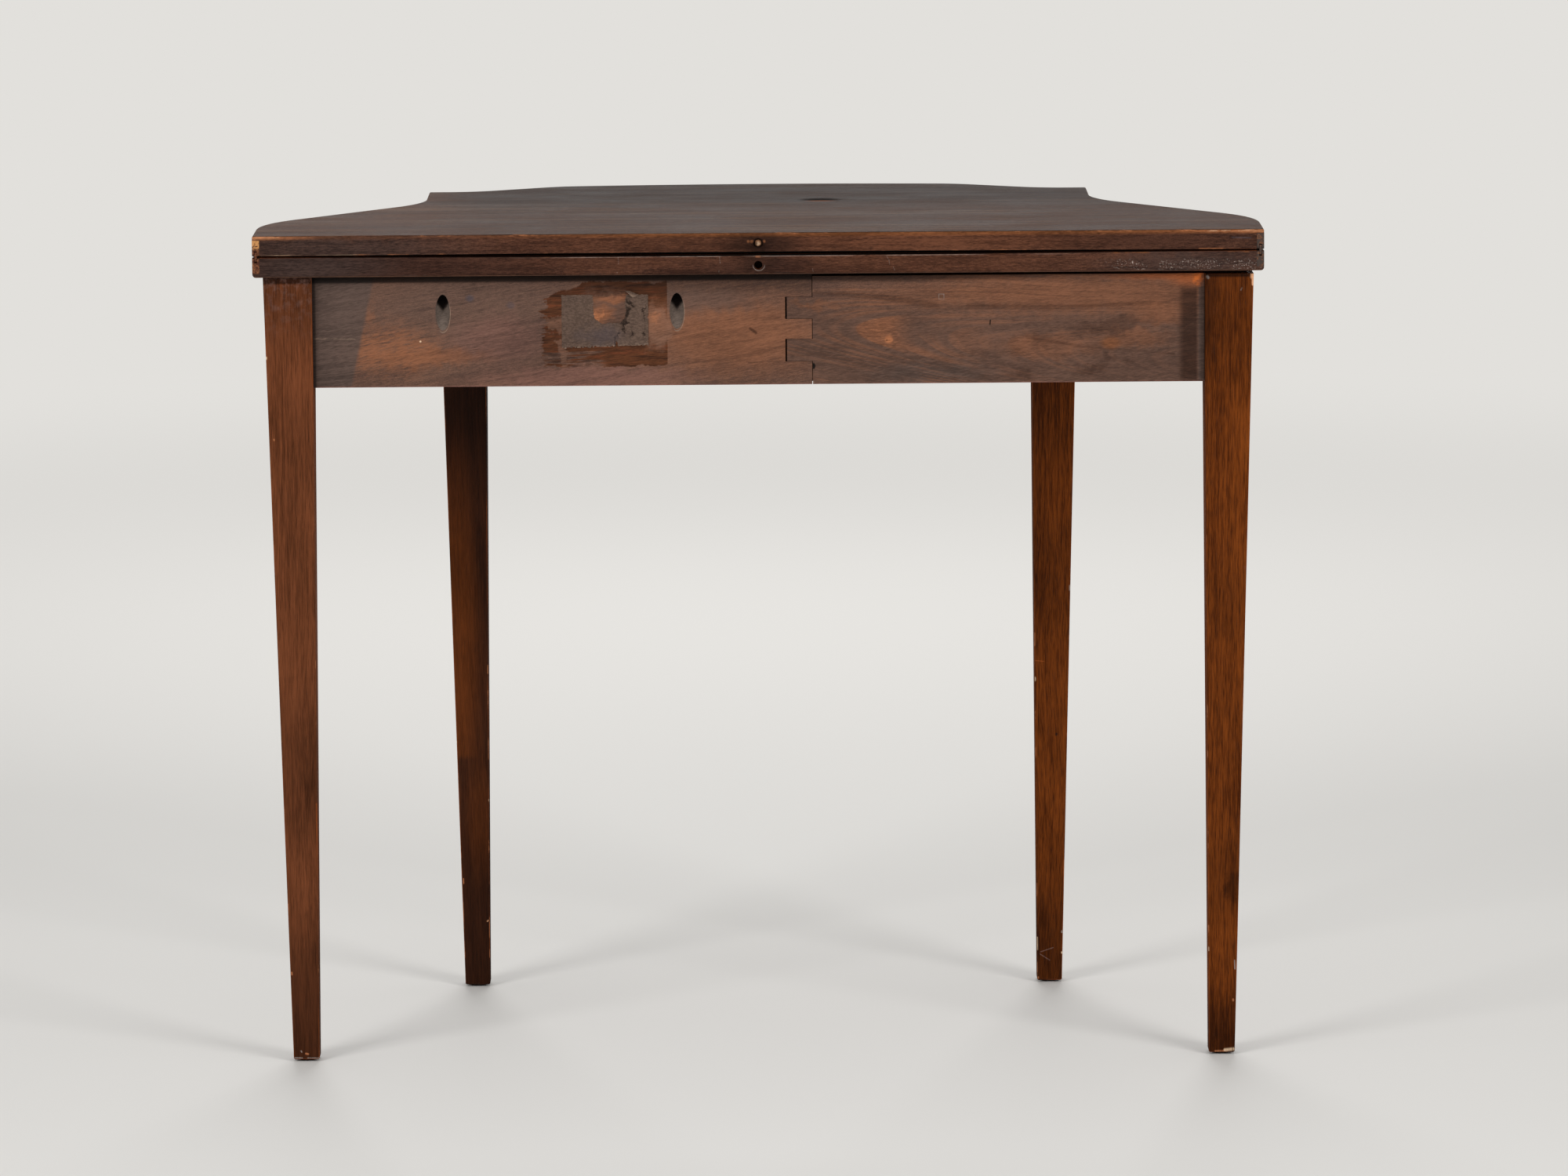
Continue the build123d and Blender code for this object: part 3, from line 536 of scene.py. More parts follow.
def folding_leaf_wood():
    low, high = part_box("folding_leaf")
    peg_low, peg_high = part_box("leaf_peg")
    peg = (peg_low + peg_high) / 2
    w = leaf_wood("folding_leaf_wood", 3.1)
    edge_bruise(w, -0.13, low.z + 0.012, 0.22, 0.016, "leaf edge red", 0.75)
    edge_bruise(w, 0.17, low.z + 0.010, 0.12, 0.014, "leaf edge red", 0.35)
    edge_bruise(w, 0.38, low.z + 0.006, 0.10, 0.014, "leaf edge grey", 0.7)
    edge_bruise(w, -0.006, low.z + 0.009, 0.032, 0.014, "leaf edge dark", 0.75)
    edge_bruise(w, -0.36, low.z + 0.010, 0.07, 0.012, "leaf edge dark", 0.5)
    top_line = w.ramp(w.z, high.z - 0.0050, high.z - 0.0015)
    w.paint(w.both(top_line, w.ramp(w.x, 0.30, 0.05, 0.25, 1.0)), "leaf edge orange", 0.7)
    top_arris = w.ramp(w.z, high.z - 0.0018, high.z - 0.0010)
    w.wear(w.both(top_arris, w.ramp(w.fine, -0.6, 0.6)), 0.09, "worn edge", 0.7)
    w.wear(w.ramp(w.z, low.z + 0.0008, low.z + 0.0020, 1.0, 0.0), 0.08, "worn edge", 0.45)
    pale_line = w.both(w.between(w.x, 0.365, 0.452, 0.01),
                       w.between(w.z, low.z + 0.0006, low.z + 0.0012, 0.0003))
    w.paint(w.both(pale_line, w.ramp(w.streak, -0.6, 0.9)), "bare chip", 0.45)
    edge_mark(w, (peg.x - 0.004, high.y, peg.z), 0.026, 0.010, "grime and shade", 0.5, 0.9, True)
    for aside, width in ((0.0058, 0.0016), (0.0090, 0.0010), (-0.0055, 0.0010)):
        edge_mark(w, (peg.x + aside, high.y, peg.z + 0.0014), width, 0.0012, "worn edge", 0.4, 0.7)
    # Painted shade in the recess round the peg.
    edge_mark(w, tuple(peg), 0.0045, 0.0045, "grime and shade", 0.7, 0.15)
    for start_x, end_x in ((0.456, 0.434), (-0.456, -0.442)):
        corner = w.stroke((start_x, leaf_back - 0.0008, high.z - 0.0006),
                          (end_x, leaf_back - 0.0008, high.z - 0.0004), 0.0042)
        w.paint(w.both(corner, w.ramp(w.streak, -1.2, -0.4)), "bare wood", 0.7)
        rubbed = w.patch((start_x, leaf_back, high.z - 0.001), (0.045, 0.004, 0.0020), 0.9)
        w.paint(rubbed, "worn edge", 0.7)
    for start_x, run in ((-0.406, 0.020), (-0.434, 0.016)):
        line = w.stroke((start_x, leaf_back, high.z - 0.0012),
                        (start_x - run, leaf_back, high.z - 0.0010), 0.0014)
        w.paint(w.both(line, w.ramp(w.fine, -0.2, 0.8)), "bare chip", 0.6)
    w.paint(w.stroke((-0.428, leaf_back, 0.7545), (-0.445, leaf_back, 0.7540), 0.0016), "bluish spot", 0.5)
    edge = w.colour

    w.colour = w.figured("top", "top streak")
    w.paint(w.ramp(w.stretch(2.2, 60.0, 4.0), 0.50, 0.70), "top pale", 0.6)
    w.paint(w.ramp(w.stretch(1.7, 90.0, 4.0), 0.50, 0.66), "top streak", 0.7)
    knot_x, knot_y = -0.058, -0.069
    w.paint(w.patch((knot_x, knot_y, high.z), (0.055, 0.016, 0.01), 0.9, True), "top streak", 0.9)
    lens = w.patch((knot_x - 0.001, knot_y - 0.003, high.z), (0.016, 0.012, 0.01), 0.8)
    w.tint(w.both(lens, w.ramp(w.figure, 0.9, 0.1, 0.7, 1.0)), 1.0, 0.15)
    w.roughness = w.ramp(lens, 0.0, 1.0, w.roughness, 0.9)
    w.paint(w.patch((knot_x, knot_y + 0.009, high.z), (0.012, 0.0040, 0.01), 0.6), "worn edge", 0.8)
    w.specks(140.0, 0.03, "top pale", 0.7)
    w.specks(230.0, 0.03, "top streak", 0.7)
    w.paint(w.ramp(w.streak, 0.3, 1.2), "top pale", 0.5)
    w.paint(w.ramp(w.streak, -0.3, -1.2), "top knot", 0.5)
    w.wear(w.ramp(w.y, high.y - 0.0036, high.y - 0.0014), 0.06, "worn edge", 0.35)
    w.tint(w.both(w.ramp(w.y, 0.10, -0.16), w.ramp(w.x, 0.36, 0.24)), 1.0, 0.45)
    w.tint(w.ramp(w.x, 0.20, 0.36), 1.0, 1.35)
    top = w.colour

    play = w.figured("play side", "play side dark")
    w.colour = w.mix(w.faces("z", 1), w.mix(w.faces("z", -1), edge, play), top)
    leaf_gap_shade(w, low.z, 1.0)
    return w.done()


# Scratches on the fixed leaf's back edge: x, upper end, length and slant

FIXED_LEAF_SCRATCHES = (
    (0.1265, 0.7405, 0.0060, -0.0004),
    (0.1275, 0.7270, 0.0030, 0.0),
    (0.0350, 0.7405, 0.0060, -0.0006),
    (0.0355, 0.7280, 0.0030, 0.0002),
    (-0.0490, 0.7290, 0.0040, -0.0008),
    (-0.1160, 0.7400, 0.0030, -0.0015),
    (-0.1180, 0.7370, 0.0050, -0.0006),
    (-0.1220, 0.7300, 0.0030, -0.0012),
)


def fixed_leaf_wood():
    low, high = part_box("fixed_leaf")
    w = leaf_wood("fixed_leaf_wood", 7.7)
    edge_bruise(w, -0.14, low.z + 0.010, 0.16, 0.016, "leaf edge red", 0.5)
    edge_bruise(w, 0.15, low.z + 0.012, 0.10, 0.010, "leaf edge red", 0.4)
    edge_bruise(w, 0.36, low.z + 0.008, 0.16, 0.020, "leaf edge dark", 0.75)
    edge_bruise(w, 0.02, low.z + 0.004, 0.06, 0.010, "leaf edge dark", 0.6)
    edge_bruise(w, -0.022, high.z - 0.009, 0.024, 0.008, "leaf edge dark", 0.6)
    edge_bruise(w, -0.395, low.z + 0.008, 0.07, 0.012, "leaf edge grey", 0.7)
    edge_bruise(w, 0.405, low.z + 0.010, 0.06, 0.016, "leaf edge grey", 0.75)
    w.wear(w.ramp(w.z, high.z - 0.0018, high.z - 0.0012), 0.09, "leaf edge orange", 0.6)
    w.wear(w.ramp(w.z, low.z + 0.0008, low.z + 0.0030, 1.0, 0.0), 0.08, "leaf edge grey", 0.7)
    scratched = w.both(w.between(w.x, -0.456, -0.318, 0.02),
                       w.between(w.z, low.z + 0.002, low.z + 0.0110, 0.002), w.faces("y", 1))
    scuff = w.noise(w.place, scale=560.0, detail=4.0, roughness=0.75)
    patchy = w.noise(w.place, scale=46.0, detail=1.0)
    w.paint(w.both(scratched, w.ramp(patchy, 0.40, 0.54), w.ramp(scuff, 0.55, 0.65)), "scuff pale", 0.8)
    for x, z, length, slant in FIXED_LEAF_SCRATCHES:
        scratch(w, x, z, length, slant)
    hole = (-0.0005, high.y, high.z - 0.0098)
    edge_mark(w, hole, 0.016, 0.008, "grime and shade", 0.4, 0.8, True)
    rim = w.both(w.patch(hole, (0.0056, 1.0, 0.0053), 0.05),
                 w.invert(w.patch(hole, (0.0050, 1.0, 0.0047), 0.05)))
    w.paint(w.both(rim, w.ramp(w.z, hole[2] + 0.001, hole[2] - 0.002), w.faces("y", 1)), "scuff", 0.5)
    caught_light = w.both(w.between(w.x, -0.25, 0.20, 0.08),
                          w.between(w.z, high.z - 0.0020, high.z - 0.0014, 0.0002))
    w.paint(w.both(caught_light, w.ramp(w.streak, -0.8, 0.4)), "scuff", 0.5)
    groove = w.both(w.between(w.x, -0.0020, 0.0024, 0.0006),
                    w.between(w.z, high.z - 0.0028, high.z - 0.0012, 0.0004))
    w.paint(groove, "worn edge", 0.45)
    edge = w.colour
    play = w.figured("play side", "play side dark")
    under = w.figured("rail", "rail dark")
    w.colour = w.mix(w.faces("z", 1), w.mix(w.faces("z", -1), edge, under), play)
    leaf_gap_shade(w, high.z, -1.0)
    return w.done()


# The back rails

def back_rail_wood(name, seed, **figure):
    """Bare wood with tool marks across its grain."""
    w = Wood(name, "x", "rail", "rail dark", seed=seed, roughness=0.7, specular=0.1, ripples=1.2, **figure)
    w.grit((700.0, 700.0, 1300.0), 0.86, 1.14)
    return w


def shade_under_the_leaf(w, top):
    """Painted shade close under the leaf's overhang."""
    w.tint(w.both(w.ramp(w.z, top - 0.026, top - 0.006), w.ramp(w.x, 0.20, 0.06, 0.35, 1.0)), 1.0, 0.6)
    w.tint(w.ramp(w.z, top - 0.0085, top - 0.0045), 1.0, 0.15)


def spot(w, x, z, width, height, name, strength, blur, ragged=False):
    """A mark of another colour on the back face."""
    w.paint(w.patch((x, back_face, z), (width, mark_depth, height), blur, ragged), name, strength)


def bruise(w, x, z, width, height, name, strength):
    """A soft mark with a ragged edge."""
    spot(w, x, z, width, height, name, strength, 0.6, True)


def screw_pocket(w, x, z):
    """The gouged pocket: painted shade at its deep upper end, dusty below, with a pale torn rim."""
    inside = w.both(w.ramp(w.y, back_face - 0.0007, back_face - 0.0003, 1.0, 0.0),
                    w.between(w.x, x - 0.0085, x + 0.0085, 0.0005), w.ramp(w.z, z + 0.022, z + 0.020))
    w.paint(inside, "pocket dust", 0.95)
    dark_edge = w.math("SUBTRACT", w.z, w.math("MULTIPLY", w.away(w.x, x), 1.2))
    # Painted shade, near black, in the deep upper end of the pocket.
    w.paint(w.both(inside, w.ramp(dark_edge, z - 0.0005, z + 0.004)), "grime and shade", 1.0)
    outer = w.patch((x, back_face, z), (0.0071, mark_depth, 0.0178), 0.03)
    hole = w.patch((x, back_face, z), (0.0066, mark_depth, 0.0170), 0.03)
    ring = w.both(outer, w.invert(hole), w.faces("y", 1))
    lean = 0.35
    leaned = x + z * lean
    lower_right = w.ramp(w.math("ADD", w.x, w.math("MULTIPLY", w.z, lean)), leaned - 0.001, leaned - 0.005)
    w.paint(ring, "rail grey", 0.5)
    w.paint(w.both(ring, lower_right), "paper edge", 0.9)


def glue_stain(w):
    """Old glue round the place of a lost slip of paper: square at one end and brushed out at the other."""
    brushed = w.swing(w.scaled_noise(w.place, (22.0, 22.0, 330.0), 3.0, 0.6))
    blotch = w.swing(w.noise(w.place, scale=70.0, detail=3.0, roughness=0.6))
    x = w.sum(w.x, w.math("MULTIPLY", brushed, -0.007), w.math("MULTIPLY", blotch, 0.006))
    z = w.sum(w.z, w.math("MULTIPLY", blotch, 0.0028))
    whole = w.both(w.between(x, 0.060, 0.196, 0.0012), w.between(z, 0.6400, 0.7165, 0.0007),
                   w.ramp(w.x, 0.0825, 0.0832), w.faces("y", 1))
    left_top = w.math("SUBTRACT", z, w.math("MULTIPLY", w.math("SUBTRACT", w.x, 0.165), -0.40))
    whole = w.both(whole, w.ramp(left_top, 0.7135, 0.7150, 1.0, 0.0))
    thin = w.both(w.ramp(w.x, 0.136, 0.146), w.ramp(w.z, 0.6560, 0.6535))
    rubbed = w.ramp(brushed, -0.15, 0.25)
    w.paint(w.both(whole, w.invert(w.both(thin, rubbed))), "glue stain", 0.95)
    strokes = w.sum(brushed, w.swing(w.scaled_noise(w.place, (55.0, 55.0, 700.0), 3.0, 0.65)))
    w.paint(w.both(whole, w.ramp(strokes, 0.1, 0.9)), "glue dark", 0.7)
    w.paint(w.both(whole, w.ramp(strokes, -0.3, -1.0)), "glue red", 0.6)
    pulled = w.both(whole, w.ramp(w.x, 0.168, 0.176), w.ramp(blotch, 0.1, 0.4))
    w.paint(pulled, "rail", 0.7)
    # Painted shade: the stain's upper part is darker under the leaf's overhang.
    w.tint(w.both(whole, w.ramp(w.z, 0.698, 0.708)), 1.0, 0.72)


def knuckle_rail_wood():
    low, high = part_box("knuckle_rail")
    w = back_rail_wood("knuckle_rail_wood", 11.3, pith=(0.05, 0.2), lean=(0.0, 0.14), slope=0.14,
                       ring=0.003, bands=0.8)
    bruise(w, 0.26, 0.690, 0.10, 0.05, "rail grey", 0.45)
    patchy = w.patch((0.335, back_face, 0.657), (0.042, mark_depth, 0.020), 0.7, True)
    w.paint(w.both(patchy, w.ramp(w.ripple, -1.0, 0.4)), "rail orange", 0.8)
    bruise(w, 0.300, 0.650, 0.050, 0.008, "rail orange", 0.7)
    bruise(w, 0.354, 0.690, 0.005, 0.008, "rail orange", 0.45)
    bruise(w, 0.020, 0.668, 0.075, 0.034, "rail orange", 0.7)
    bruise(w, 0.060, 0.700, 0.060, 0.012, "rail grey", 0.6)
    bruise(w, 0.16, 0.630, 0.09, 0.010, "rail pink", 0.6)
    bruise(w, 0.235, 0.665, 0.04, 0.02, "rail pink", 0.5)
    slant = w.math("ADD", w.x, w.math("MULTIPLY", w.math("SUBTRACT", w.z, 0.667), 0.215))
    w.paint(w.ramp(slant, 0.358, 0.362), "rail grey", 0.95)
    w.tint(w.ramp(w.x, 0.372, 0.402), 1.0, 0.88)
    scribed = w.stroke((0.402, back_face, 0.6672), (0.366, back_face, 0.6665), 0.0016)
    w.paint(w.both(scribed, w.ramp(w.fine, -0.7, 0.4)), "paper edge", 0.5)
    glue_stain(w)
    spot(w, 0.0925, 0.676, 0.012, 0.020, "rail", 0.95, 0.35, True)
    spot(w, 0.0925, 0.680, 0.011, 0.014, "rail orange", 0.35, 0.8, True)
    spot(w, 0.0945, 0.686, 0.004, 0.003, "worn edge", 0.35, 0.8, True)
    spot(w, 0.138, 0.690, 0.024, 0.018, "rail brown", 0.95, 0.5, True)
    spot(w, 0.134, 0.7015, 0.015, 0.004, "rail orange", 0.8, 0.6, True)
    spot(w, 0.1455, 0.6855, 0.010, 0.008, "rail orange", 0.9, 0.8, True)
    spot(w, 0.1450, 0.6850, 0.0035, 0.003, "worn edge", 0.7, 0.6, True)
    for x, z, strength in ((0.2613, 0.7030, 0.8), (0.2246, 0.6964, 0.5)):
        spot(w, x, z, 0.0034, 0.0030, "bluish spot", strength, 0.6)
    dash = w.stroke((0.0078, back_face, 0.6737), (0.0026, back_face, 0.6698), 0.0026)
    w.paint(dash, "glue dark", 0.65)
    spot(w, 0.3065, 0.664, 0.0009, 0.0009, "bare chip", 0.7, 0.3)
    crack = w.stroke((0.010, back_face, 0.6425), (-0.03, back_face, 0.6445), 0.0007)
    w.paint(w.both(crack, w.ramp(w.streak, -0.5, 0.5)), "grime and shade", 0.5)
    for x in (back_pocket_far, back_pocket_near):
        screw_pocket(w, x, pocket_height)
    w.paint(w.ramp(w.z, low.z + 0.0006, low.z + 0.0014, 1.0, 0.0), "rail pink", 0.8)
    # Painted shade under the leaf's overhang.
    shade_under_the_leaf(w, high.z)
    # Painted shadow in a narrow band where the rail meets the leg.
    tenon_length = 0.020
    shoulder = high.x - tenon_length
    w.tint(w.ramp(w.x, shoulder - 0.004, shoulder - 0.0012), 1.0, 0.35)
    return w.done()


# Dark lines of the fly rail's grain: two ends (x, z) and width

FLY_RAIL_LINES = (
    ((-0.052, 0.7060), (-0.110, 0.7015), 0.0050),
    ((-0.110, 0.7015), (-0.160, 0.6935), 0.0065),
    ((-0.19, 0.6925), (-0.28, 0.6915), 0.0050),
    ((-0.28, 0.6915), (-0.365, 0.6945), 0.0040),
    ((-0.243, 0.6639), (-0.293, 0.6549), 0.0030),
    ((-0.293, 0.6549), (-0.376, 0.6478), 0.0022),
)


def fly_rail_wood():
    low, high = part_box("fly_rail")
    pith_y, pith_lean = 0.1472, 0.07
    w = back_rail_wood("fly_rail_wood", 17.9, pith=(pith_y, 0.68226), lean=(pith_lean, -0.1077),
                       ring=0.0042, warp=0.0012, bands=0.9, clouds=0.8)
    w.paint(w.ramp(w.z, 0.715, 0.672), "rail brown", 0.75)
    bruise(w, -0.20, 0.645, 0.16, 0.025, "rail brown", 0.8)
    bruise(w, -0.085, 0.650, 0.05, 0.03, "rail brown", 0.7)
    bruise(w, -0.155, 0.632, 0.05, 0.008, "rail grey", 0.7)
    lights = w.both(w.ramp(w.line, -0.1, 0.9), w.ramp(w.x, -0.26, -0.18, 0.35, 1.0))
    w.paint(w.both(lights, w.ramp(w.cloud, -0.8, 0.6)), "rail orange", 0.6)
    for tip_x, length, strength in ((-0.0906, 0.056, 0.7), (-0.165, 0.05, 0.25), (-0.216, 0.045, 0.3)):
        tip_radius = back_face - (pith_y - pith_lean * tip_x)
        bulb = w.both(w.ramp(w.radius, tip_radius - 0.0001, tip_radius + 0.0002, 1.0, 0.0),
                      w.ramp(w.x, tip_x - length, tip_x - length * 0.35), w.faces("y", 1))
        w.paint(bulb, "rail orange", strength)
        w.paint(w.both(bulb, w.ramp(w.fine, 0.2, 1.0)), "worn edge", 0.4 * strength)
    spot(w, -0.1178, 0.6627, 0.0034, 0.0036, "worn edge", 0.7, 0.4)
    spot(w, -0.1160, 0.6622, 0.0007, 0.0007, "grime and shade", 0.6, 0.4)
    bruise(w, -0.29, 0.704, 0.16, 0.016, "rail orange", 0.6)
    w.tint(w.both(w.ramp(w.x, -0.18, -0.28), w.ramp(w.z, 0.675, 0.695)), 1.0, 0.92)
    bruise(w, -0.262, 0.6565, 0.045, 0.010, "rail orange", 0.4)
    bruise(w, -0.050, 0.6945, 0.020, 0.0035, "rail orange", 0.5)
    dark_lines = [w.stroke((start[0], back_face, start[1]), (end[0], back_face, end[1]), width)
                  for start, end, width in FLY_RAIL_LINES]
    w.paint(w.both(w.either(*dark_lines), w.ramp(w.streak, -1.2, 1.0)), "glue dark", 0.5)
    bruise(w, -0.312, 0.6715, 0.030, 0.007, "glue dark", 0.45)
    bruise(w, -0.345, 0.6790, 0.028, 0.0035, "glue dark", 0.4)
    bruise(w, -0.257, 0.6640, 0.010, 0.007, "glue dark", 0.25)
    spot(w, -0.3190, 0.6580, 0.0085, 0.0050, "leaf edge orange", 0.7, 0.5)
    bruise(w, -0.362, 0.686, 0.022, 0.010, "rail orange", 0.6)
    bruise(w, -0.343, 0.662, 0.026, 0.008, "rail orange", 0.5)
    for x, z, width, height in ((-0.3158, 0.6436, 0.006, 0.0040), (-0.3360, 0.6424, 0.006, 0.0035),
                                (-0.2393, 0.6299, 0.012, 0.0060), (-0.3030, 0.6345, 0.014, 0.0040)):
        bruise(w, x, z, width, height, "glue dark", 0.4)
    w.paint(w.both(w.ramp(w.x, -0.3985, -0.3955), w.ramp(w.x, -0.3860, -0.3780, 1.0, 0.0),
                   w.ramp(w.z, 0.702, 0.714, 1.0, 0.0), w.ramp(w.cloud, -2.4, -0.4)), "glue dark", 0.8)
    w.paint(w.between(w.x, -0.4035, -0.3985, 0.0008), "rail grey", 0.8)
    spot(w, -0.368, 0.7190, 0.036, 0.0030, "rail glow dim", 0.7, 0.9)
    spot(w, -0.390, 0.7165, 0.014, 0.0060, "rail glow dim", 0.8, 0.9)
    spot(w, -0.3985, 0.7165, 0.0045, 0.0050, "rail glow", 0.9, 0.7, True)
    # Painted shade in the narrow gap where the rail meets the fly leg.
    w.tint(w.ramp(w.x, -0.4028, -0.4036), 1.0, 0.3)
    bung_x, bung_z, bung_half = -0.1655, 0.7014, 0.0025
    square = w.either(w.away(w.x, bung_x), w.away(w.z, bung_z))
    outline = w.between(square, bung_half - 0.0005, bung_half + 0.0001, 0.0002)
    w.paint(w.both(outline, w.ramp(w.z, bung_z - 0.003, bung_z + 0.001, 0.35, 1.0)), "scuff", 0.65)
    w.paint(w.stroke((-0.2098, back_face, 0.6795), (-0.2094, back_face, 0.6760), 0.0014), "grime and shade", 0.95)
    spot(w, -0.0495, 0.639, 0.0015, 0.0028, "near black", 0.95, 0.3)
    spot(w, -0.0488, 0.6242, 0.0012, 0.0018, "paper edge", 0.5, 0.3)
    w.paint(w.ramp(w.z, low.z + 0.0006, low.z + 0.0014, 1.0, 0.0), "rail pink", 0.6)
    # Painted shade under the leaf, along the rail's top.
    w.tint(w.both(w.ramp(w.z, high.z - 0.008, high.z - 0.002), w.ramp(w.x, -0.33, -0.12)), 1.0, 0.35)
    return w.done()


# The other woods

def apron_wood():
    return Wood("apron_wood", "x", "apron", "apron dark", seed=23.1, pith=(0.2, 0.2), ring=0.005,
                roughness=0.36, specular=0.2).done()


def inner_wood():
    return Wood("inner_wood", "x", "inner wood", "inner wood dark", seed=29.4, pith=(0.2, 0.4), ring=0.006,
                roughness=0.7, specular=0.12).done()


def peg_wood():
    """A pale core in a browner ring, with a dark chip beside it."""
    w = Wood("peg_wood", "x", "peg", "peg dark", seed=31.0, ring=0.002, roughness=0.6, specular=0.12)
    low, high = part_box("leaf_peg")
    middle = (low + high) / 2
    core = w.patch(tuple(middle), (0.0018, 1.0, 0.0018), 0.25)
    w.paint(w.invert(core), "leaf edge orange", 0.75)
    w.paint(w.patch((middle.x + 0.0019, high.y, middle.z), (0.0010, 1.0, 0.0013), 0.5), "grime and shade", 0.7)
    return w.done()


# Metal

def metal(name, bright, dull, roughness, cover, gilt=None):
    """Worn metal under a patina. Above the gilt height the old brass is rubbed to gold at one end."""
    s = Shader(name, roughness, metallic=0.85)
    patina = s.noise(s.place, scale=420.0, detail=5.0, roughness=0.7)
    share = s.ramp(patina, cover - 0.10, cover + 0.10)
    colour = s.mix(share, tone(dull), tone(bright))
    if gilt is not None:
        x, _, z = s.split(s.place)
        rubbed = s.both(s.ramp(x, 0.0, 0.1), s.ramp(z, gilt - 0.002, gilt + 0.002),
                        s.ramp(patina, 0.38, 0.52))
        colour = s.mix(rubbed, colour, tone("brass gold"))
        greyed = s.both(s.ramp(x, 0.0, -0.1), s.ramp(patina, 0.60, 0.45, 0.35, 0.85))
        colour = s.mix(greyed, colour, tone("steel"))
    rough = s.ramp(share, 0.0, 1.0, roughness + 0.25, roughness)
    return s.finish(colour, rough, patina, 0.0001)


# The torn paper

# Dark cracks in the paper, the first of them a painted shadow under the curled flap: x, z, half their width
# and half their height

PAPER_CRACKS_AND_FLAP_SHADOW = (
    # Painted shadow under the curled flap
    (0.1162, 0.6985, 0.0022, 0.0045),
    (0.1216, 0.6870, 0.0022, 0.0075),
    (0.1195, 0.6775, 0.0014, 0.0060),
    (0.1140, 0.6720, 0.0010, 0.0040),
    (0.1046, 0.6870, 0.0009, 0.0060),
    (0.1052, 0.6700, 0.0008, 0.0060),
    (0.1290, 0.6620, 0.0012, 0.0050),
    (0.1260, 0.6680, 0.0008, 0.0040),
)


def paper_stuff():
    """Brown old paper with dark cracks, a painted shadow under its curled flap, and a painted highlight
    where it lifts and along its torn foot.
    """
    w = Wood("paper_stuff", "x", "paper", "paper dark", seed=5.3, bands=0.0, fibres=0.4, clouds=0.6,
             ripples=1.0, roughness=0.85, specular=0.05)
    weave = w.scaled_noise(w.place, (420.0, 420.0, 700.0))
    w.tint(w.ramp(weave, 0.36, 0.64), 0.8, 1.15)
    # Dark cracks, and the painted shadow under the curled flap
    for x, z, width, height in PAPER_CRACKS_AND_FLAP_SHADOW:
        spot(w, x, z, width, height, "grime and shade", 0.85, 0.8, True)
    spot(w, 0.142, 0.668, 0.018, 0.008, "bluish spot", 0.5, 0.8, True)
    # Painted highlight where the sheet stands off the rail and along its torn foot.
    w.paint(w.ramp(w.y, back_face + 0.0007, back_face + 0.0016), "paper edge", 0.9)
    foot = w.math("ADD", w.z, w.math("MULTIPLY", w.x, paper_slope))
    torn_edge_highlight = w.ramp(foot, paper_foot + 0.0024, paper_foot + 0.0004)
    w.paint(w.both(torn_edge_highlight, w.ramp(weave, 0.45, 0.58)), "paper edge", 0.8)
    return w.done(0.0002)


def torn_paper():
    """What is left of a slip of paper: a thin sheet, torn through its middle and curling at its edges."""
    cell = 0.0008
    left_x, right_x = 0.1785, 0.1000
    low_z, high_z = 0.6565, 0.7053
    columns = round((left_x - right_x) / cell)
    rows = round((high_z - low_z) / cell)

    def rough(x, z, scale, seed):
        return noise.fractal(Vector((x * scale, seed, z * scale)), 0.6, 2.0, 4)

    def foot(x):
        return low_z + (left_x - x) * paper_slope

    def kept(x, z):
        """Whether the sheet is still there, inside its ragged edges and outside what is torn away."""
        ragged = 0.0012 * rough(x, z, 220.0, 1.0)
        cut = abs(ragged) * 0.4
        inside = right_x + ragged < x < left_x - cut and foot(x) + abs(ragged) < z < high_z - cut
        hole = ((x - 0.1350) / 0.0148) ** 4 + ((z - 0.6960) / 0.0165) ** 4
        notch = ((x - 0.1290) / 0.0010) ** 2 + ((z - 0.6570) / 0.0060) ** 2
        torn = min(hole, notch) + 0.30 * rough(x, z, 160.0, 4.0)
        return inside and torn > 1.0

    def height(x, z):
        """How far the sheet stands off the rail, more where an edge has curled."""
        curl_reach = 0.0030
        curl = max(0.0, 1 - (z - foot(x)) / curl_reach) * (0.6 + 0.4 * rough(x, z, 120.0, 7.0))
        edge = max(0.0, 1 - (x - right_x) / curl_reach)
        return 0.00015 + 0.0008 * max(0.0, curl) + 0.0005 * edge + 0.00006 * rough(x, z, 300.0, 9.0)

    mesh = bmesh.new()
    corners = {}

    def corner(i, j):
        if (i, j) not in corners:
            x, z = right_x + i * cell, low_z + j * cell
            shift = 0.35 * cell
            place = (x + shift * rough(x, z, 900.0, 11.0), back_face + max(0.0001, height(x, z)),
                     z + shift * rough(x, z, 900.0, 13.0))
            corners[i, j] = mesh.verts.new(place)
        return corners[i, j]

    for i in range(columns):
        for j in range(rows):
            if kept(right_x + (i + 0.5) * cell, low_z + (j + 0.5) * cell):
                mesh.faces.new([corner(i, j), corner(i, j + 1), corner(i + 1, j + 1), corner(i + 1, j)])
    flap = (
        (0.1212, 0.0004, 0.7092),
        (0.1165, 0.0022, 0.7088),
        (0.1075, 0.0004, 0.7050),
        (0.1140, 0.0018, 0.7030),
    )
    mesh.faces.new([mesh.verts.new((x, back_face + lift, z)) for x, lift, z in flap])
    sheet = bpy.data.meshes.new("torn_paper")
    mesh.to_mesh(sheet)
    mesh.free()
    piece = bpy.data.objects.new("torn_paper", sheet)
    bpy.context.scene.collection.objects.link(piece)
    thicken = piece.modifiers.new("thickness", "SOLIDIFY")
    thicken.thickness = 0.00012
    thicken.offset = -1.0
    sheet.materials.append(paper_stuff())
    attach(piece, "frame")


# Every piece gets its look

def coat(material, *node_names):
    for name in node_names:
        for slot in nodes[name].material_slots:
            slot.material = material


torn_paper()

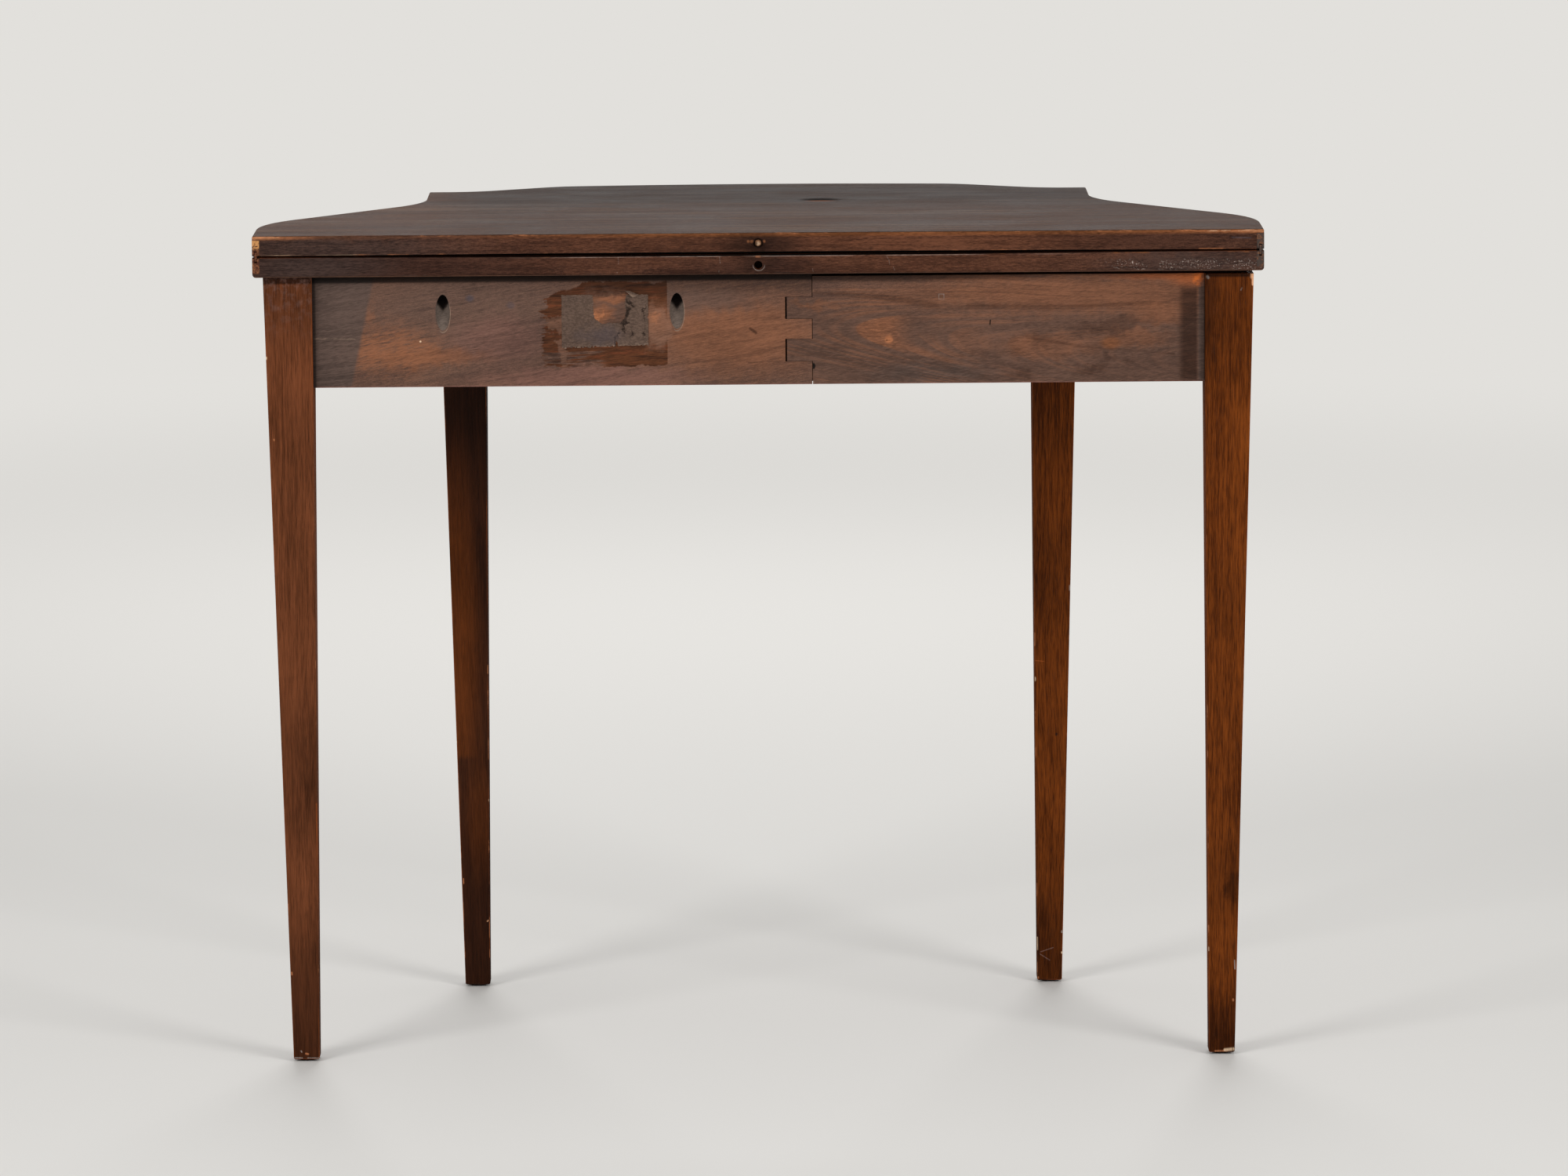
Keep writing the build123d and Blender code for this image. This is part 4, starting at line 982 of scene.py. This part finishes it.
coat(folding_leaf_wood(), "folding_leaf")
coat(fixed_leaf_wood(), "fixed_leaf")
coat(knuckle_rail_wood(), "knuckle_rail")
coat(fly_rail_wood(), "fly_rail")
coat(fixed_back_leg_wood(), "fixed_back_leg")
coat(fly_leg_wood(), "fly_leg")
coat(front_leg_left_wood(), "front_leg_left")
coat(front_leg_right_wood(), "front_leg_right")
coat(apron_wood(), "front_rail", "side_rail_left", "side_rail_right")
coat(inner_wood(), "inner_back_rail", "corner_block", "glue_block_left", "glue_block_middle",
     "glue_block_right")
coat(peg_wood(), "leaf_peg")
hinges = [name for name in nodes if name.startswith("hinge")]
glides = [name for name in nodes if "glide" in name]
gilt_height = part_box("folding_leaf")[0].z + 0.007
coat(metal("old_brass", "brass", "brass brown", 0.32, 0.56, gilt_height), *hinges)
coat(metal("old_iron", "steel", "iron", 0.45, 0.55), *glides, "top_screws", "knuckle_pin")


# Stage, light and camera

def background_rays(tree):
    """1 for the rays that show the background: straight to the camera, in a reflection or through glass."""
    path = tree.nodes.new("ShaderNodeLightPath")
    shown = path.outputs["Is Camera Ray"]
    for name in ("Is Glossy Ray", "Is Transmission Ray"):
        either = tree.nodes.new("ShaderNodeMath")
        either.operation = "MAXIMUM"
        tree.links.new(shown, either.inputs[0])
        tree.links.new(path.outputs[name], either.inputs[1])
        shown = either.outputs[0]
    return shown


def make_stage():
    """A wide pale floor. Beyond the table's shadow it fades into the background's own tone."""
    floor_radius = 60
    fade_start, fade_end = 1.2, 5.0
    bpy.ops.mesh.primitive_circle_add(vertices=96, radius=floor_radius, fill_type="NGON")
    floor = bpy.context.object
    floor.name = "floor"
    s = Shader("floor", 0.6, specular=0.2)
    reach = s.vector("LENGTH", s.place)
    far = s.both(s.ramp(reach, fade_start, fade_end), background_rays(s.tree))
    glow = s.node("ShaderNodeEmission", tone("floor"), 1.0)
    s.surface.inputs["Base Color"].default_value = tone("floor")
    mixed = s.node("ShaderNodeMixShader", far, s.surface.outputs[0], glow.outputs[0])
    output = s.tree.nodes["Material Output"]
    s.tree.links.new(mixed.outputs[0], output.inputs["Surface"])
    floor.data.materials.append(s.material)


def make_world():
    """Plain soft light from all round, behind a plain background."""
    level = 0.39
    world = bpy.data.worlds.new("studio")
    world.use_nodes = True
    bpy.context.scene.world = world
    tree = world.node_tree
    light = tree.nodes["Background"]
    light.inputs["Color"].default_value = (1.0, 1.0, 1.0, 1.0)
    light.inputs["Strength"].default_value = level
    seen = tree.nodes.new("ShaderNodeBackground")
    seen.inputs["Color"].default_value = tone("floor")
    seen.inputs["Strength"].default_value = 1.0
    choose = tree.nodes.new("ShaderNodeMixShader")
    tree.links.new(background_rays(tree), choose.inputs[0])
    tree.links.new(light.outputs[0], choose.inputs[1])
    tree.links.new(seen.outputs[0], choose.inputs[2])
    tree.links.new(choose.outputs[0], tree.nodes["World Output"].inputs["Surface"])


def make_lamp(name, place, target, width, height, power):
    lamp = bpy.data.lights.new(name, "AREA")
    lamp.shape = "RECTANGLE"
    lamp.size = width
    lamp.size_y = height
    lamp.energy = power
    holder = bpy.data.objects.new(name, lamp)
    bpy.context.scene.collection.objects.link(holder)
    holder.location = place
    holder.rotation_euler = (Vector(target) - Vector(place)).to_track_quat("-Z", "Y").to_euler()


def make_camera():
    """The photograph's viewpoint, behind the table and a little above it."""
    image_width = 2000
    focal_length_in_pixels = 10283.8
    sensor_width = 36.0
    camera = bpy.data.cameras.new("camera")
    camera.sensor_width = sensor_width
    camera.lens = focal_length_in_pixels * sensor_width / image_width
    camera.clip_end = 200.0
    holder = bpy.data.objects.new("camera", camera)
    bpy.context.scene.collection.objects.link(holder)
    place = (-0.00009, 7.468, 1.517)
    yaw, pitch, roll = 0.0029, 0.1479, -0.0073
    turn = (Matrix.Rotation(math.pi - yaw, 4, "Z") @ Matrix.Rotation(math.pi / 2 - pitch, 4, "X")
            @ Matrix.Rotation(roll, 4, "Z"))
    holder.matrix_world = Matrix.Translation(place) @ turn
    bpy.context.scene.camera = holder


make_stage()
make_world()
table_middle = (0.0, 0.0, 0.45)
key_side, key_power = 1.4, 64
make_lamp("key_left", (2.6, 3.0, 2.3), table_middle, key_side, key_side, key_power)
make_lamp("key_right", (-2.6, 3.0, 2.3), table_middle, key_side, key_side, key_power)
make_lamp("front_fill", (0.0, -3.4, 2.2), table_middle, 2.4, 1.4, 50)
make_camera()

bpy.context.scene.view_settings.view_transform = "Standard"
